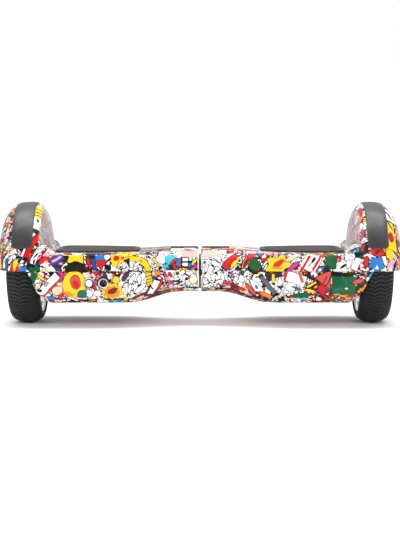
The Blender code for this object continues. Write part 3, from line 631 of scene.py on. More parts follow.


# Shapes are (kind, x, up, half width, half height, degrees, fill, rim), in millimetres on the
# unrolled skin. A later shape covers an earlier one; in RIGHT_LOWER the black bar at x 196, up 77.5 is a
# painted shadow.
LINE = 0.7
LEFT_UPPER = [
    ("bar", -26, 108, 24, 14, 0, DOODLES, 0), ("disc", -76, 92, 17, 14, -25, DOODLES, 0),
    ("bar", -175, 98, 12, 7, 0, YELLOW, LINE), ("dome", -174.5, 80.5, 15, 13.5, 0, BLACK, 0),
    ("disc", -191, 98, 7.5, 5, 20, BLACK, 0), ("bar", -201, 96, 11.5, 6.2, 32, NAVY, LINE),
    ("bar", -201, 96, 8, 1.6, 32, PINK, 0), ("dome", -218, 92, 9, 8, 35, RED, LINE),
    ("bar", -156, 91.5, 2.2, 11, 20, RED, LINE), ("bar", -149, 90.5, 3.4, 10, 15, NAVY, LINE),
    ("disc", -140, 100, 8.5, 5.5, 0, BLUE, LINE), ("disc", -130, 101, 5, 5, 0, WHITE, LINE),
    ("wedge", -139, 88, 10, 8, 178, RED, LINE), ("sun", -117.5, 96.5, 8, 10.5, 0, YELLOW, LINE),
    ("disc", -117.2, 99, 4.5, 4.2, 0, RED, 0), ("gem", -108, 86, 4, 5, 0, GREEN, LINE),
    ("leaf", -100, 93, 11, 10, 35, WHITE, LINE), ("sun", -87, 85, 6.5, 5, 0, ORANGE, LINE),
    ("disc", -84, 85, 2.2, 2.2, 0, YELLOW, 0), ("bar", -64, 93, 15, 1.8, -48, YELLOW, LINE),
    ("disc", -55, 98.5, 7.5, 10, 15, WHITE, LINE), ("disc", -42.5, 97.5, 7.8, 10.5, 0, CYAN, LINE),
    ("leaf", -37.5, 93, 9, 6, 48, RED, LINE), ("leaf", -31, 92, 8.5, 7, 75, BLUE, LINE),
    ("bar", -21.5, 92.5, 5.5, 10, 0, BLACK, 0), ("bar", -21, 96, 3.6, 2.8, 0, WHITE, 0),
    ("bar", -21, 88, 3.6, 2.2, 0, WHITE, 0), ("leaf", -8, 92, 9, 6, 55, LIME, LINE),
    ("disc", -7, 85, 3.5, 4.5, 0, MAGENTA, LINE), ("disc", -94, 83, 24, 19, 0, YELLOW, LINE),
    ("disc", -98, 76, 22, 19, 0, DOODLES, LINE), ("leaf", -88, 91, 8, 5, 40, WHITE, LINE),
    ("wedge", -101, 92, 5, 6, 200, BLACK, 0), ("bar", -13.5, 112, 13, 11, 0, BLUSH, 0),
    ("bar", -1.5, 80, 1.6, 50, 0, CREAM, 0), ("bar", -227, 211, 9, 22, 0, YELLOW, 0),
    ("bar", -227, 222, 9, 2, 20, BLACK, 0), ("bar", -227, 209, 9, 1.8, 15, BLACK, 0),
    ("bar", -227, 198, 9, 1.6, 10, BLACK, 0), ("bar", -227, 174, 9, 15, 0, WHITE, 0),
    ("disc", -226, 165, 2.6, 6, 0, PINK, 0), ("disc", -231, 182, 2, 5, 0, BLACK, 0),
    ("wedge", -231, 147, 5, 7, 10, BLACK, 0), ("wedge", -233, 140, 4, 5, 120, BLACK, 0),
    ("wedge", -262, 89, 8, 11, 8, RED, LINE), ("wedge", -260, 86, 4, 8, 170, YELLOW, 0),
    ("leaf", -254, 106, 6, 5, 70, PINK, LINE), ("wedge", -249, 110, 6, 6, 190, BLACK, 0),
    ("bar", -249, 80.5, 5, 2.4, 0, BLUE, 0), ("bar", -232, 81.5, 8, 3, 0, GREEN, 0),
    ("bar", -272, 92, 2.5, 12, 0, TEAL, 0),
    ("leaf", -268, 118, 9, 5, 60, YELLOW, LINE), ("leaf", -266, 148, 18, 4, 70, BLACK, 0),
    ("leaf", -267, 172, 16, 3, 70, BLACK, 0),
    ("bar", -242, 124, 36, 2.2, 70, WHITE, LINE), ("bar", -235.5, 124, 33, 3.6, 70, RED, LINE),
    ("bar", -227.5, 112, 29, 4.4, 72, WHITE, LINE), ("leaf", -226, 119, 6, 3, 20, BLACK, 0),
    ("leaf", -230, 103, 7, 3, 55, BLACK, 0), ("leaf", -233, 92, 5, 3, 80, BLACK, 0),
]
LEFT_LOWER = [
    ("disc", -94, 62, 21, 22, 0, DOODLES, 0), ("bar", -22, 66, 22, 18, 0, DOODLES, 0),
    ("disc", -160, 50, 26, 12, 0, DOODLES, 0), ("disc", -177, 62, 16.5, 21, 0, YELLOW, LINE),
    ("disc", -175, 65, 7.5, 11, 10, SALMON, LINE), ("disc", -174.5, 62, 4.2, 6, 10, RED, 0),
    ("leaf", -185, 48, 9, 5.5, -25, ORANGE, 0), ("disc", -197, 75, 6, 7.5, 0, MAGENTA, LINE),
    ("bar", -216, 60, 6, 26, -42, WHITE, LINE), ("bar", -206, 60, 1.2, 24, -42, RED, 0),
    ("disc", -226, 53, 3, 4.5, -40, BLACK, 0), ("disc", -216, 64, 2.6, 4, -40, GREY, LINE),
    ("disc", -201, 54, 8, 7, 0, PEACH, LINE), ("disc", -209, 42, 6.5, 4.5, 0, BLUE, LINE),
    ("leaf", -195, 40, 9, 4, 0, MAROON, 0),
    ("disc", 1000 * BUTTON_X, 1000 * PANEL_Z, 7.8, 8.2, 0, WHITE, LINE),
    ("disc", 1000 * SOCKET_X, 1000 * PANEL_Z, 9.5, 9.5, 0, BLACK, 0),
    ("disc", -147, 65, 3, 4.5, 0, MAGENTA, LINE), ("bar", -148, 56, 2.5, 5, 25, RED, LINE),
    ("disc", -156, 48, 5.5, 5.5, 0, WHITE, LINE), ("disc", -144, 48, 5.5, 5, 0, WHITE, LINE),
    ("disc", -166, 47, 7, 6.5, 0, TEAL, LINE), ("sun", -123.5, 51, 15, 12.5, 0, YELLOW, LINE),
    ("sun", -124, 50, 11, 9, 10, ORANGE, 0), ("leaf", -123, 52, 8.5, 8, 25, MAROON, 0),
    ("disc", -118, 68, 5.5, 6.5, 0, YELLOW, LINE), ("disc", -116.5, 76.5, 3.8, 3.6, 0, BLACK, 0),
    ("disc", -116, 77.5, 1.2, 1.2, 0, WHITE, 0), ("leaf", -105, 73.5, 9.5, 8.5, 62, PURPLE, LINE),
    ("leaf", -85, 44, 16, 5.5, 25, MAROON, LINE), ("wedge", -62, 74.5, 5.5, 6, 170, ORANGE, LINE),
    ("leaf", -58, 58, 13, 7, 68, RED, LINE), ("disc", -43, 74.5, 3, 4, 30, RED, 0),
    ("disc", -42, 60, 4.2, 4, 0, MAGENTA, LINE), ("disc", -10, 66, 6, 9.5, 0, CREAM, LINE),
    ("leaf", -96, 68, 11, 7, 65, WHITE, LINE), ("leaf", -86, 68, 9, 6, 90, WHITE, LINE),
    ("leaf", -84, 55, 12, 8, 40, WHITE, LINE), ("leaf", -99, 55, 9, 6, 80, WHITE, LINE),
    ("bar", -72, 69, 4, 13, 4, YELLOW, LINE),
    *[("bar", -72, up, 3, 0.7, 12, BLACK, 0) for up in (78, 73, 68, 63)],
    ("bar", -66, 54, 5, 14, -24, WHITE, LINE),
    ("bar", -69, 56, 1, 5, 30, BLACK, 0), ("wedge", -43, 73, 8, 8, 180, WHITE, LINE),
    ("disc", -43, 74, 3, 4, 30, RED, LINE), ("leaf", -224, 74, 9, 6, -40, YELLOW, LINE),
    ("bar", -235, 72, 5, 9, -20, GREEN, 0), ("bar", -1.5, 60, 1.6, 22, 0, CREAM, 0),
    ("bar", -13, 48, 12, 2, 0, BLACK, 0), ("leaf", -30, 60, 7, 4, 40, BLACK, 0),
    ("leaf", -18, 72, 6, 3, -40, BLACK, 0),
]
RIGHT_UPPER = [
    ("bar", 18, 100, 20, 26, 0, DOODLES, 0), ("bar", 205, 94, 12, 14, 0, DOODLES, 0),
    ("wedge", 54, 84, 6, 4.5, 0, BLACK, 0), ("leaf", 65, 92, 12.5, 9, 65, ORANGE, LINE),
    ("leaf", 65.5, 92, 9.5, 5.5, 65, MAROON, 0), ("gem", 77.5, 89, 9.5, 12, 0, GREEN, LINE),
    ("wedge", 70, 83.5, 4, 4, 0, BLACK, 0), ("wedge", 86, 83.5, 4.5, 4.5, 0, BLACK, 0),
    ("wedge", 90, 97, 8, 7.5, 178, RED, LINE), ("disc", 90, 101, 4, 3, 0, WHITE, LINE),
    ("splash", 109.5, 89.5, 16.5, 12.5, 15, YELLOW, LINE), ("leaf", 110, 91, 10, 8, 40, RED, 0),
    ("leaf", 108.5, 85, 8.5, 4, 0, ORANGE, 0), ("bar", 156, 93, 12, 14, -30, WHITE, LINE),
    ("bar", 148, 91, 1.8, 14, -30, RED, 0), ("bar", 165, 93, 1.8, 13.5, -30, RED, 0),
    ("leaf", 159, 96, 5.5, 4.5, 60, BLACK, 0), ("leaf", 154, 89, 4.5, 3, 60, GREY, 0),
    ("bar", 184, 94, 8, 11, -8, GREEN, LINE), ("wedge", 179, 84, 6, 5.5, 0, BLACK, 0),
    ("wedge", 198, 88, 11, 10.5, 0, WHITE, LINE), ("bar", 196, 97, 2, 5, 0, RED, 0),
    ("leaf", 201, 86, 6, 4, 30, BLACK, 0), ("bar", 219.5, 89, 5, 10.5, -25, WHITE, LINE),
    ("bar", 233, 92.5, 3.6, 8.5, 0, RED, LINE), ("splash", 248, 89, 10, 11, 0, BLUE, LINE),
    ("wedge", 248, 84, 3, 3, 0, WHITE, 0), ("bar", 260, 94, 3, 10, 20, WHITE, LINE),
    ("leaf", 266, 90, 11, 6, 70, PINK, LINE), ("bar", 43, 95, 5, 17, -38, RED, LINE),
    ("leaf", 49, 90, 12, 7, 55, YELLOW, LINE), ("bar", 15, 113, 12, 12, 6, GREY_BEIGE, 0),
    ("bar", 1.6, 80, 1.6, 50, 0, WHITE, LINE), ("leaf", 131, 87, 13, 8, 38, MAGENTA, LINE),
    ("leaf", 131, 101, 16, 8, 30, PEACH, LINE), ("wedge", 72, 102, 12, 8, 200, RED, LINE),
    ("leaf", 228, 195, 22, 8, 85, ORANGE, LINE), ("leaf", 231, 208, 14, 5, 85, RED, 0),
    ("bar", 226, 168, 7, 8, 20, WHITE, LINE), ("leaf", 230, 146, 13, 6, 75, MAGENTA, LINE),
    ("leaf", 222, 116, 9, 4, 85, BLUE, LINE), ("leaf", 230, 120, 9, 5, 70, RED, LINE),
    ("leaf", 225, 130, 8, 4, -60, WHITE, LINE), ("bar", 269, 205, 8, 20, 0, WHITE, 0),
    ("leaf", 270, 205, 16, 4, -70, BLACK, 0), ("leaf", 267, 212, 12, 4, -60, BLACK, 0),
    ("bar", 269, 148, 8, 34, 3, YELLOW, LINE), ("disc", 270, 143, 4, 11, 0, RED, LINE),
    ("bar", 267, 108, 5, 8, 0, YELLOW, 0), ("leaf", 270, 170, 12, 3, -70, BLACK, 0),
    ("bar", 272, 90, 5, 10, 0, PINK, 0), ("bar", 274, 92, 1.6, 10, -15, BLACK, 0),
    ("wedge", 268, 84, 5, 5, 0, WHITE, 0),
]
RIGHT_LOWER = [
    ("bar", 20, 68, 24, 20, 0, DOODLES, 0), ("disc", 126, 60, 30, 14, 0, DOODLES, 0),
    ("disc", 58, 68, 12, 12, 0, DOODLES, 0), ("disc", 39, 59, 6.8, 4.4, -15, SALMON, LINE),
    ("disc", 39, 59, 4, 1.8, -15, RED, 0), ("disc", 59.5, 77, 4, 3.2, 0, GREEN, LINE),
    ("disc", 59, 68, 4.5, 6, 0, WHITE, LINE), ("disc", 58.5, 50.5, 5.8, 4.8, -15, RED, LINE),
    ("leaf", 72, 52, 14, 8, -55, SALMON, LINE), ("leaf", 81, 56, 17, 11, -50, WHITE, LINE),
    ("disc", 80, 57, 2, 3.5, 20, BLUE, 0), ("bar", 96, 60, 19, 3.6, -52, SLATE, LINE),
    ("leaf", 92, 45, 14, 8.5, -20, RED, LINE), ("leaf", 94, 45, 9, 5, -20, ORANGE, 0),
    ("bar", 103, 70.5, 2.4, 8.5, 0, YELLOW, LINE), ("bar", 120, 72, 2.4, 7.5, 0, RED, 0),
    ("bar", 135, 70, 15, 8, -20, WHITE, LINE), ("bar", 142, 72, 2, 8, 20, SALMON, 0),
    ("disc", 128, 58, 8.5, 6, 0, WHITE, LINE), ("leaf", 136, 56, 8, 4.5, -20, SLATE, 0),
    ("leaf", 142, 45, 16.5, 8.5, 5, GREEN, LINE), ("disc", 146, 38.5, 9, 2.2, 0, CYAN, 0),
    ("bar", 158, 63, 10, 1.6, 28, BLACK, 0), ("bar", 160, 59, 10, 1.6, 28, BLACK, 0),
    ("leaf", 155, 52, 11, 6, -15, YELLOW, LINE), ("disc", 172, 54, 6, 8, 0, RED, LINE),
    # Painted shadow: the black bar at x 196, up 77.5, just under the seam, stands for the shade cast by the
    # upper casing's edge; it is not print.
    ("bar", 202, 62, 17, 13.5, 0, GREEN, 0), ("bar", 196, 77.5, 20, 3.2, 0, BLACK, 0),
    ("leaf", 222, 68, 10, 8, 15, SALMON, LINE), ("disc", 206, 57, 2, 1.2, 0, WHITE, 0),
    ("leaf", 207, 45, 16, 6.5, -5, ORANGE, LINE), ("leaf", 214, 45, 10, 4, -5, RED, 0),
    ("bar", 195, 38.5, 19, 1.8, 0, TEAL, 0), ("wedge", 178, 66, 14, 13, 205, SALMON, LINE),
    ("bar", 157, 61, 11, 2, 28, YELLOW, LINE), ("leaf", 30, 55, 8, 4, -20, SALMON, LINE),
    ("bar", 1.6, 60, 1.6, 22, 0, WHITE, LINE), ("leaf", 222, 58, 7, 5, 60, BLACK, 0),
    ("leaf", 203, 69, 9, 4, -60, TEAL, 0), ("bar", 181, 67, 1, 8, -25, MAROON, 0),
    ("bar", 176, 69, 0.8, 6, -25, MAROON, 0), ("leaf", 193, 55, 8, 4, 20, TEAL, 0),
]


# --- other materials ---
def rubber(name, colour, roughness, grain, strength=0.25, specular=0.35):
    """Moulded rubber: fine grain, slight dusting and scuffs."""
    shader = Shader(name)
    place = shader.place()
    dust = shader.smooth_range(shader.noise(place, 24.0, 6.0), 0.40, 0.75, 0.0, 0.35)
    pale = tuple(min(value * 1.9 + 0.012, 1.0) for value in colour)
    shader.set(Base_Color=shader.mix(dust, colour, pale), Specular_IOR_Level=specular,
               Roughness=shader.uneven(place, 60.0, 4.0, roughness - 0.06, roughness + 0.08))
    fine = shader.noise(place, grain, 3.0)
    pores = shader.voronoi(place, grain * 0.8, dimensions="3D").outputs["Distance"]
    shader.bump(shader.plus(fine, shader.times(pores, 0.5)), strength, 0.0003)
    return shader.material


def metal(name, colour, roughness, grain, tint=(0.25, 0.22, 0.18)):
    """Bare or plated metal: fine grain, light staining, uneven polish."""
    shader = Shader(name)
    place = shader.place()
    streaks = shader.noise(place, grain, 4.0)
    stain = shader.smooth_range(shader.noise(place, 38.0, 6.0), 0.48, 0.80, 0.0, 0.35)
    shader.set(Base_Color=shader.mix(stain, colour, tint), Metallic=1.0,
               Roughness=shader.smooth_range(streaks, 0.3, 0.7, max(roughness - 0.08, 0.05),
                                             roughness + 0.12))
    shader.bump(streaks, 0.15, 0.0002)
    return shader.material


def cast_alloy(name):
    """Sand-grained casting with cloudy patches."""
    shader = Shader(name)
    place = shader.place()
    sand = shader.noise(place, 900.0, 4.0)
    cloud = shader.smooth_range(shader.noise(place, 30.0, 5.0), 0.35, 0.7, 0.0, 0.5)
    shader.set(Base_Color=shader.mix(cloud, (0.56, 0.57, 0.59), (0.38, 0.38, 0.39)), Metallic=1.0,
               Roughness=shader.smooth_range(sand, 0.3, 0.7, 0.42, 0.62))
    shader.bump(sand, 0.5, 0.0005)
    return shader.material


def painted_cover(name):
    """White-silver paint over a die casting, with faint orange peel and brake-dust streaks."""
    shader = Shader(name)
    place = shader.place()
    dust = shader.smooth_range(shader.noise(place, 42.0, 6.0), 0.45, 0.80, 0.0, 0.30)
    shader.set(Base_Color=shader.mix(dust, (0.90, 0.90, 0.91), (0.60, 0.59, 0.57)), Metallic=0.0,
               Coat_Weight=0.3, Coat_Roughness=0.15,
               Roughness=shader.uneven(place, 90.0, 3.0, 0.28, 0.40))
    shader.bump(shader.noise(place, 700.0, 2.0), 0.10, 0.0003)
    return shader.material


def moulded_plastic(name, colour, roughness, coat=0.0):
    """Moulded plastic with a faint cloud in its colour and a fine grain."""
    shader = Shader(name)
    place = shader.place()
    cloud = shader.smooth_range(shader.noise(place, 48.0, 5.0), 0.35, 0.75, 0.0, 0.30)
    other = tuple(value * 0.75 + 0.006 for value in colour)
    shader.set(Base_Color=shader.mix(cloud, colour, other), Coat_Weight=coat, Coat_Roughness=0.08,
               Roughness=shader.uneven(place, 120.0, 3.0, roughness - 0.04, roughness + 0.08))
    shader.bump(shader.noise(place, 1300.0, 2.0), 0.12, 0.0002)
    return shader.material


def circuit_board(name):
    """Green solder mask with copper tracks and pads, and dark parts under the board."""
    board_underside = 0.0796
    shader = Shader(name)
    place = shader.place()
    cells = shader.voronoi(place, 160.0, metric="CHEBYCHEV", dimensions="3D")
    track = shader.below(shader.math("FRACT", shader.times(cells.outputs["Distance"], 5.0)), 0.30)
    colour = shader.mix(track, (0.01, 0.13, 0.05), (0.03, 0.26, 0.10))
    solder = shader.below(cells.outputs["Distance"], 0.10)
    colour = shader.mix(solder, colour, (0.62, 0.60, 0.55))
    _, _, z = shader.split(place)
    parts = shader.below(z, board_underside)
    dark = shader.mix(shader.noise(place, 200.0, 2.0), (0.015, 0.015, 0.018), (0.05, 0.05, 0.055))
    shader.set(Base_Color=shader.mix(parts, colour, dark), Roughness=0.38)
    shader.bump(track, 0.3, 0.0002)
    return shader.material


def copper_wire(name):
    """Enamelled wire wound in turns and layers, with painted shade in the grooves between turns and painted
    highlights on their crests.
    """
    shader = Shader(name)
    place = shader.place()
    x, y, z = shader.split(place)
    radius = shader.vector("LENGTH", shader.join(0.0, y, shader.minus(z, AXLE_Z)))
    ripples = 6000.0
    turns = shader.math("SINE", shader.times(radius, ripples))
    layers = shader.math("SINE", shader.times(x, ripples))
    wires = shader.plus(turns, layers)
    # Painted shade and highlight: darker copper in the grooves between turns, brighter copper on their
    # crests.
    painted_wire_shading = shader.smooth_range(wires, -2.0, 2.0, 0.0, 1.0)
    shader.set(Base_Color=shader.mix(painted_wire_shading, (0.28, 0.08, 0.02), (0.80, 0.34, 0.12)), Metallic=1.0,
               Roughness=0.34)
    shader.bump(wires, 0.6, 0.0005)
    return shader.material


def battery_wrap(name):
    """Blue shrink wrap drawn tight over rows of cells."""
    cell_pitch = 0.0184
    shader = Shader(name)
    place = shader.place()
    x, _, _ = shader.split(place)
    rows = shader.absolute(shader.math("SINE", shader.times(x, math.pi / cell_pitch)))
    wrinkles = shader.noise(shader.vector("MULTIPLY", place, (1.0, 0.3, 1.0)), 160.0, 4.0)
    shader.set(Base_Color=shader.mix(wrinkles, (0.02, 0.07, 0.30), (0.05, 0.17, 0.52)), Roughness=0.30,
               Coat_Weight=0.3, Coat_Roughness=0.12)
    shader.bump(shader.plus(rows, shader.times(wrinkles, 0.4)), 0.5, 0.0012)
    return shader.material


def dark_window(name, side):
    """Smoked lens over a short row of unlit green lamps."""
    lamps_per_metre = 160.0
    lamp_share = 0.62
    lamp_half_depth = 0.0022
    row_half_length = 0.0125
    shader = Shader(name)
    place = shader.place()
    x, y, _ = shader.split(place)
    middle = side * (window_low.x + window_high.x) / 2
    across = shader.minus(x, middle)
    cell = shader.math("FRACT", shader.times(across, lamps_per_metre))
    lit = shader.times(shader.below(shader.absolute(y), lamp_half_depth),
                       shader.below(cell, lamp_share))
    near = shader.below(shader.absolute(across), row_half_length)
    lamps = shader.times(lit, near)
    smoke = shader.mix(shader.noise(place, 80.0, 3.0), (0.010, 0.010, 0.012), (0.028, 0.028, 0.032))
    shader.set(Base_Color=shader.mix(lamps, smoke, (0.02, 0.09, 0.04)), Specular_IOR_Level=0.0,
               Roughness=shader.uneven(place, 60.0, 4.0, 0.20, 0.32))
    shader.bump(shader.noise(place, 300.0, 2.0), 0.03, 0.0002)
    return shader.material


# --- casings ---
def casing_rings(side, stations, upper, inset, flat_z):
    return [[(side * out, y, z) for y, z in section(out, upper, inset, flat_z)] for out in stations]


def stations_between(start, end):
    """Places along the casing, closer together where its outline bends."""
    fine = spread(WAIST_START, WAIST_END, 28) + spread(0.205, 0.2455, 25)
    fine += [0.008, 0.014, 0.135, 0.160, 0.180]
    return [start] + sorted(out for out in fine if start + 0.001 < out < end - 0.0006) + [end]


def arch_form(side, radius, outer_bulge, inner_bulge, inner_power):
    """The wheel arch as a solid of revolution round the axle."""
    outline = arch_outline(radius, outer_bulge, inner_bulge, inner_power)
    turned = [(side * along, r) for along, r in outline]
    return tool_object(lambda bm: turn(bm, turned, (0.0, 0.0, AXLE_Z), 120))


def shaft_holes(side):
    """Holes for the axle in the wheel's end and for the centre tube in the neck's end."""
    return [hole((side * 0.210, 0, AXLE_Z), (side * 0.225, 0, AXLE_Z), AXLE_HOLE_RADIUS),
            hole((side * -0.002, 0, SEAM_Z), (side * 0.006, 0, SEAM_Z), TUBE_HOLE_RADIUS)]


def pad_outline(margin, steps=6, corner_cut=0.004):
    """Plan of a foot pad as (out, y): it narrows towards the neck, with softly rounded corners."""
    middle = (pad_low.x + pad_high.x) / 2
    half = [(out + math.copysign(margin, out - middle), depth + margin) for out, depth in PAD_PLAN]
    corners = [(x, -y) for x, y in half] + [(x, y) for x, y in half[::-1]]
    rounded = []
    for i, corner in enumerate(corners):
        corner = Vector(corner)
        before, after = Vector(corners[i - 1]), Vector(corners[(i + 1) % len(corners)])
        start = corner + (before - corner).normalized() * corner_cut
        end = corner + (after - corner).normalized() * corner_cut
        for k in range(steps + 1):
            t = k / steps
            rounded.append((1 - t) ** 2 * start + 2 * t * (1 - t) * corner + t ** 2 * end)
    return rounded


def pad_depth(out):
    """Half the depth of a foot pad at this distance outward."""
    outs, depths = zip(*PAD_PLAN)
    return float(np.interp(out, outs, depths))


def prism(bm, outline, low, high, side):
    loft(bm, [[(side * x, y, low) for x, y in outline], [(side * x, y, high) for x, y in outline]])


def upper_casing(label, side, surface):
    """Hollow upper half with its wheel arch, a recess for the foot pad and the shafts' holes."""
    bm = bmesh.new()
    loft(bm, casing_rings(side, stations_between(NECK_GAP, FENDER_MIDDLE), True, 0.0, SEAM_Z - 0.002))
    item = new_object(f"{label}_upper_casing", bm)
    hollow = casing_rings(side, stations_between(NECK_GAP + WALL, CAVITY_END), True, WALL, SEAM_Z - 0.006)

    def below_seam(bm):
        block(bm, (side * -0.01, -0.2, -0.1), (side * 0.4, 0.2, SEAM_Z + SEAM_GAP))

    def pad_recess(bm):
        prism(bm, pad_outline(PAD_RECESS_MARGIN), PAD_RECESS_FLOOR, 0.125, side)

    def stem_holes(bm):
        for y in PAD_STEM_YS:
            cylinder(bm, (side * PAD_STEM_OUT, y, 0.095), (side * PAD_STEM_OUT, y, 0.110), 0.005)

    def window(bm):
        block(bm, (side * (window_low.x - FIT_GAP), window_low.y - FIT_GAP, window_low.z - FIT_GAP),
              (side * (window_high.x + FIT_GAP), window_high.y + FIT_GAP, 0.120))

    carve(item, [
        ("UNION", arch_form(side, FENDER_RADIUS, OUTER_BULGE, INNER_BULGE, INNER_POWER)),
        ("DIFFERENCE", arch_form(side, FENDER_RADIUS - WALL, OUTER_BULGE - WALL, INNER_BULGE - 0.002,
                                 INNER_POWER + 0.2)),
        ("DIFFERENCE", tool_object(lambda bm: loft(bm, hollow))),
        ("DIFFERENCE", tool_object(below_seam)),
        ("DIFFERENCE", tool_object(pad_recess)),
        ("DIFFERENCE", tool_object(stem_holes)),
        *shaft_holes(side),
        ("DIFFERENCE", tool_object(window)),
    ])
    return finish_piece(item, surface, f"{label}_half", f"{label}_upper_shell")


def lower_casing(label, side, surface):
    """Hollow lower half with its wheel well, screw posts and, on the left, the panel's two holes."""
    bm = bmesh.new()
    loft(bm, casing_rings(side, stations_between(NECK_GAP, LOWER_END), False, 0.0, SEAM_Z - SEAM_GAP))
    item = new_object(f"{label}_lower_casing", bm)
    hollow = casing_rings(side, stations_between(NECK_GAP + WALL, CAVITY_END), False, WALL, SEAM_Z + 0.003)

    def at_screws(low, high, radius, segments=32):
        def build(bm):
            for x, y in SCREW_PLACES:
                cylinder(bm, (side * x, y, low), (side * x, y, high), radius, segments)
        return tool_object(build)

    steps = [
        ("DIFFERENCE", arch_form(side, LOWER_WELL_RADIUS, OUTER_BULGE - WALL, INNER_BULGE - 0.003,
                                 LOWER_WELL_POWER)),
        ("DIFFERENCE", tool_object(lambda bm: loft(bm, hollow))),
        ("UNION", at_screws(0.0365, 0.0690, 0.0062)),
        ("DIFFERENCE", at_screws(0.030, 0.0415, 0.0048)),
        ("DIFFERENCE", at_screws(0.040, 0.075, 0.0024, 16)),
        *shaft_holes(side),
    ]
    if side < 0:
        steps += [hole((x, -0.100, PANEL_Z), (x, -0.080, PANEL_Z), PANEL_HOLE_RADIUS, 48)
                  for x in (BUTTON_X, SOCKET_X)]
    carve(item, steps)
    return finish_piece(item, surface, f"{label}_half", f"{label}_lower_shell")


# --- rubber pieces ---
def fender_strip(label, side, surface):
    """Bumper strip over the arch: domed section, rounded ends, rolled edges."""
    bumper_low, bumper_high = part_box("right_fender_bumper")
    middle = (bumper_low.x + bumper_high.x) / 2
    half_width = (bumper_high.x - bumper_low.x) / 2
    rise = 0.0016
    seat = SEAM_GAP * 0.6
    end_angle = math.asin((bumper_low.z + 0.0004 - AXLE_Z) / (FENDER_RADIUS + rise))
    corner = math.radians(4.0)
    bm = bmesh.new()
    rings = []
    for angle in spread(end_angle, math.pi - end_angle, 151):
        from_end = min(angle - end_angle, math.pi - end_angle - angle)
        pinch = min(from_end / corner, 1.0)
        width = half_width - 0.0075 * (1 - math.sqrt(1 - (1 - pinch) ** 2))
        lift = rise * math.sqrt(min(0.15 + from_end / math.radians(1.6), 1.0))
        ring = []
        for across in spread(-1.0, 1.0, 25):
            out = middle + width * across
            edge = min(1.0, (1 - abs(across)) / 0.07)
            height = lift * (0.25 + 0.75 * math.sqrt(1 - (1 - edge) ** 2))
            ring.append((out, arch_radius(out) + seat + height))
        for across in spread(0.96, -0.96, 9):
            out = middle + width * across
            ring.append((out, arch_radius(out) + seat))
        rings.append([(side * out, -r * math.cos(angle), AXLE_Z + r * math.sin(angle)) for out, r in ring])
    loft(bm, rings)
    item = new_object(f"{label}_bumper_strip", bm, 50)
    return finish_piece(item, surface, f"{label}_half", f"{label}_fender_bumper")


def tyre_profile(x):
    """Radius of the smooth tyre at a distance from its middle plane."""
    share = min(abs(x) / TYRE_HALF_WIDTH, 1.0)
    return TYRE_BEAD + (TYRE_RADIUS - TYRE_BEAD) * (1 - share ** 2) ** 0.425


def groove_depth(angle, x):
    """Depth of the tread at a place: wavy cross grooves, stepped at three fine ring grooves."""
    rings = np.array([-0.0140, -0.0025, 0.0095])
    shifts = np.array([0.10, 0.0, 0.22, 0.12])
    phase = angle * TREAD_PITCHES / (2 * math.pi) + shifts[np.digitize(x, rings)]
    sway = 0.20 * np.sin(x / 0.0023) + 0.30 * (x / TYRE_HALF_WIDTH) ** 2
    place = np.abs((phase + sway) % 1.0 - 0.5)
    cross = np.clip((0.17 - place) / 0.08, 0.0, 1.0)
    nearest = np.min(np.abs(x[..., None] - rings), axis=-1)
    ring = np.clip((0.0008 - nearest) / 0.0005, 0.0, 1.0)
    reach = np.clip((0.0222 - np.abs(x)) / 0.0012, 0.0, 1.0)
    return np.maximum(TREAD_DEPTH * cross * reach, 0.6 * TREAD_DEPTH * ring)


def treaded_tyre(label, side, surface):
    """Solid tyre: a fine grid over the crown pressed in at the tread, and plain sidewalls."""
    around = TREAD_PITCHES * 12
    across = 60
    lean = np.linspace(-1.0, 1.0, across)
    x = TYRE_HALF_WIDTH * np.sin(lean * math.pi / 2)
    angles = np.arange(around) * 2 * math.pi / around
    crown = np.array([tyre_profile(value) for value in x])
    grid_angle, grid_x = np.meshgrid(angles, x, indexing="ij")
    radius = crown[None, :] - groove_depth(grid_angle, grid_x)
    seat = TYRE_BEAD - 0.0002
    wall = [(TYRE_HALF_WIDTH - 0.0008, seat + 0.0018), (TYRE_HALF_WIDTH - 0.0045, seat)]
    columns_x = np.concatenate([x, [wall[0][0], wall[1][0], -wall[1][0], -wall[0][0]]])
    columns_r = [wall[0][1], wall[1][1], wall[1][1], wall[0][1]]
    radius = np.concatenate([radius, np.tile(columns_r, (around, 1))], axis=1)
    columns = len(columns_x)
    points = np.empty((around, columns, 3))
    points[:, :, 0] = side * WHEEL_OUT + columns_x[None, :]
    points[:, :, 1] = radius * np.cos(angles)[:, None]
    points[:, :, 2] = AXLE_Z + radius * np.sin(angles)[:, None]
    index = np.arange(around * columns).reshape(around, columns)
    next_row = np.roll(index, -1, axis=0)
    next_column = np.roll(index, -1, axis=1)
    faces = np.stack([index, next_column, np.roll(next_row, -1, axis=1), next_row], axis=-1).reshape(-1, 4)
    mesh = bpy.data.meshes.new(f"{label}_treaded_tyre")
    mesh.from_pydata(points.reshape(-1, 3).tolist(), [], faces.tolist())
    bm = bmesh.new()
    bm.from_mesh(mesh)
    bpy.data.meshes.remove(mesh)
    item = new_object(f"{label}_treaded_tyre", bm, 45)
    return finish_piece(item, surface, f"{label}_wheel", f"{label}_tyre")


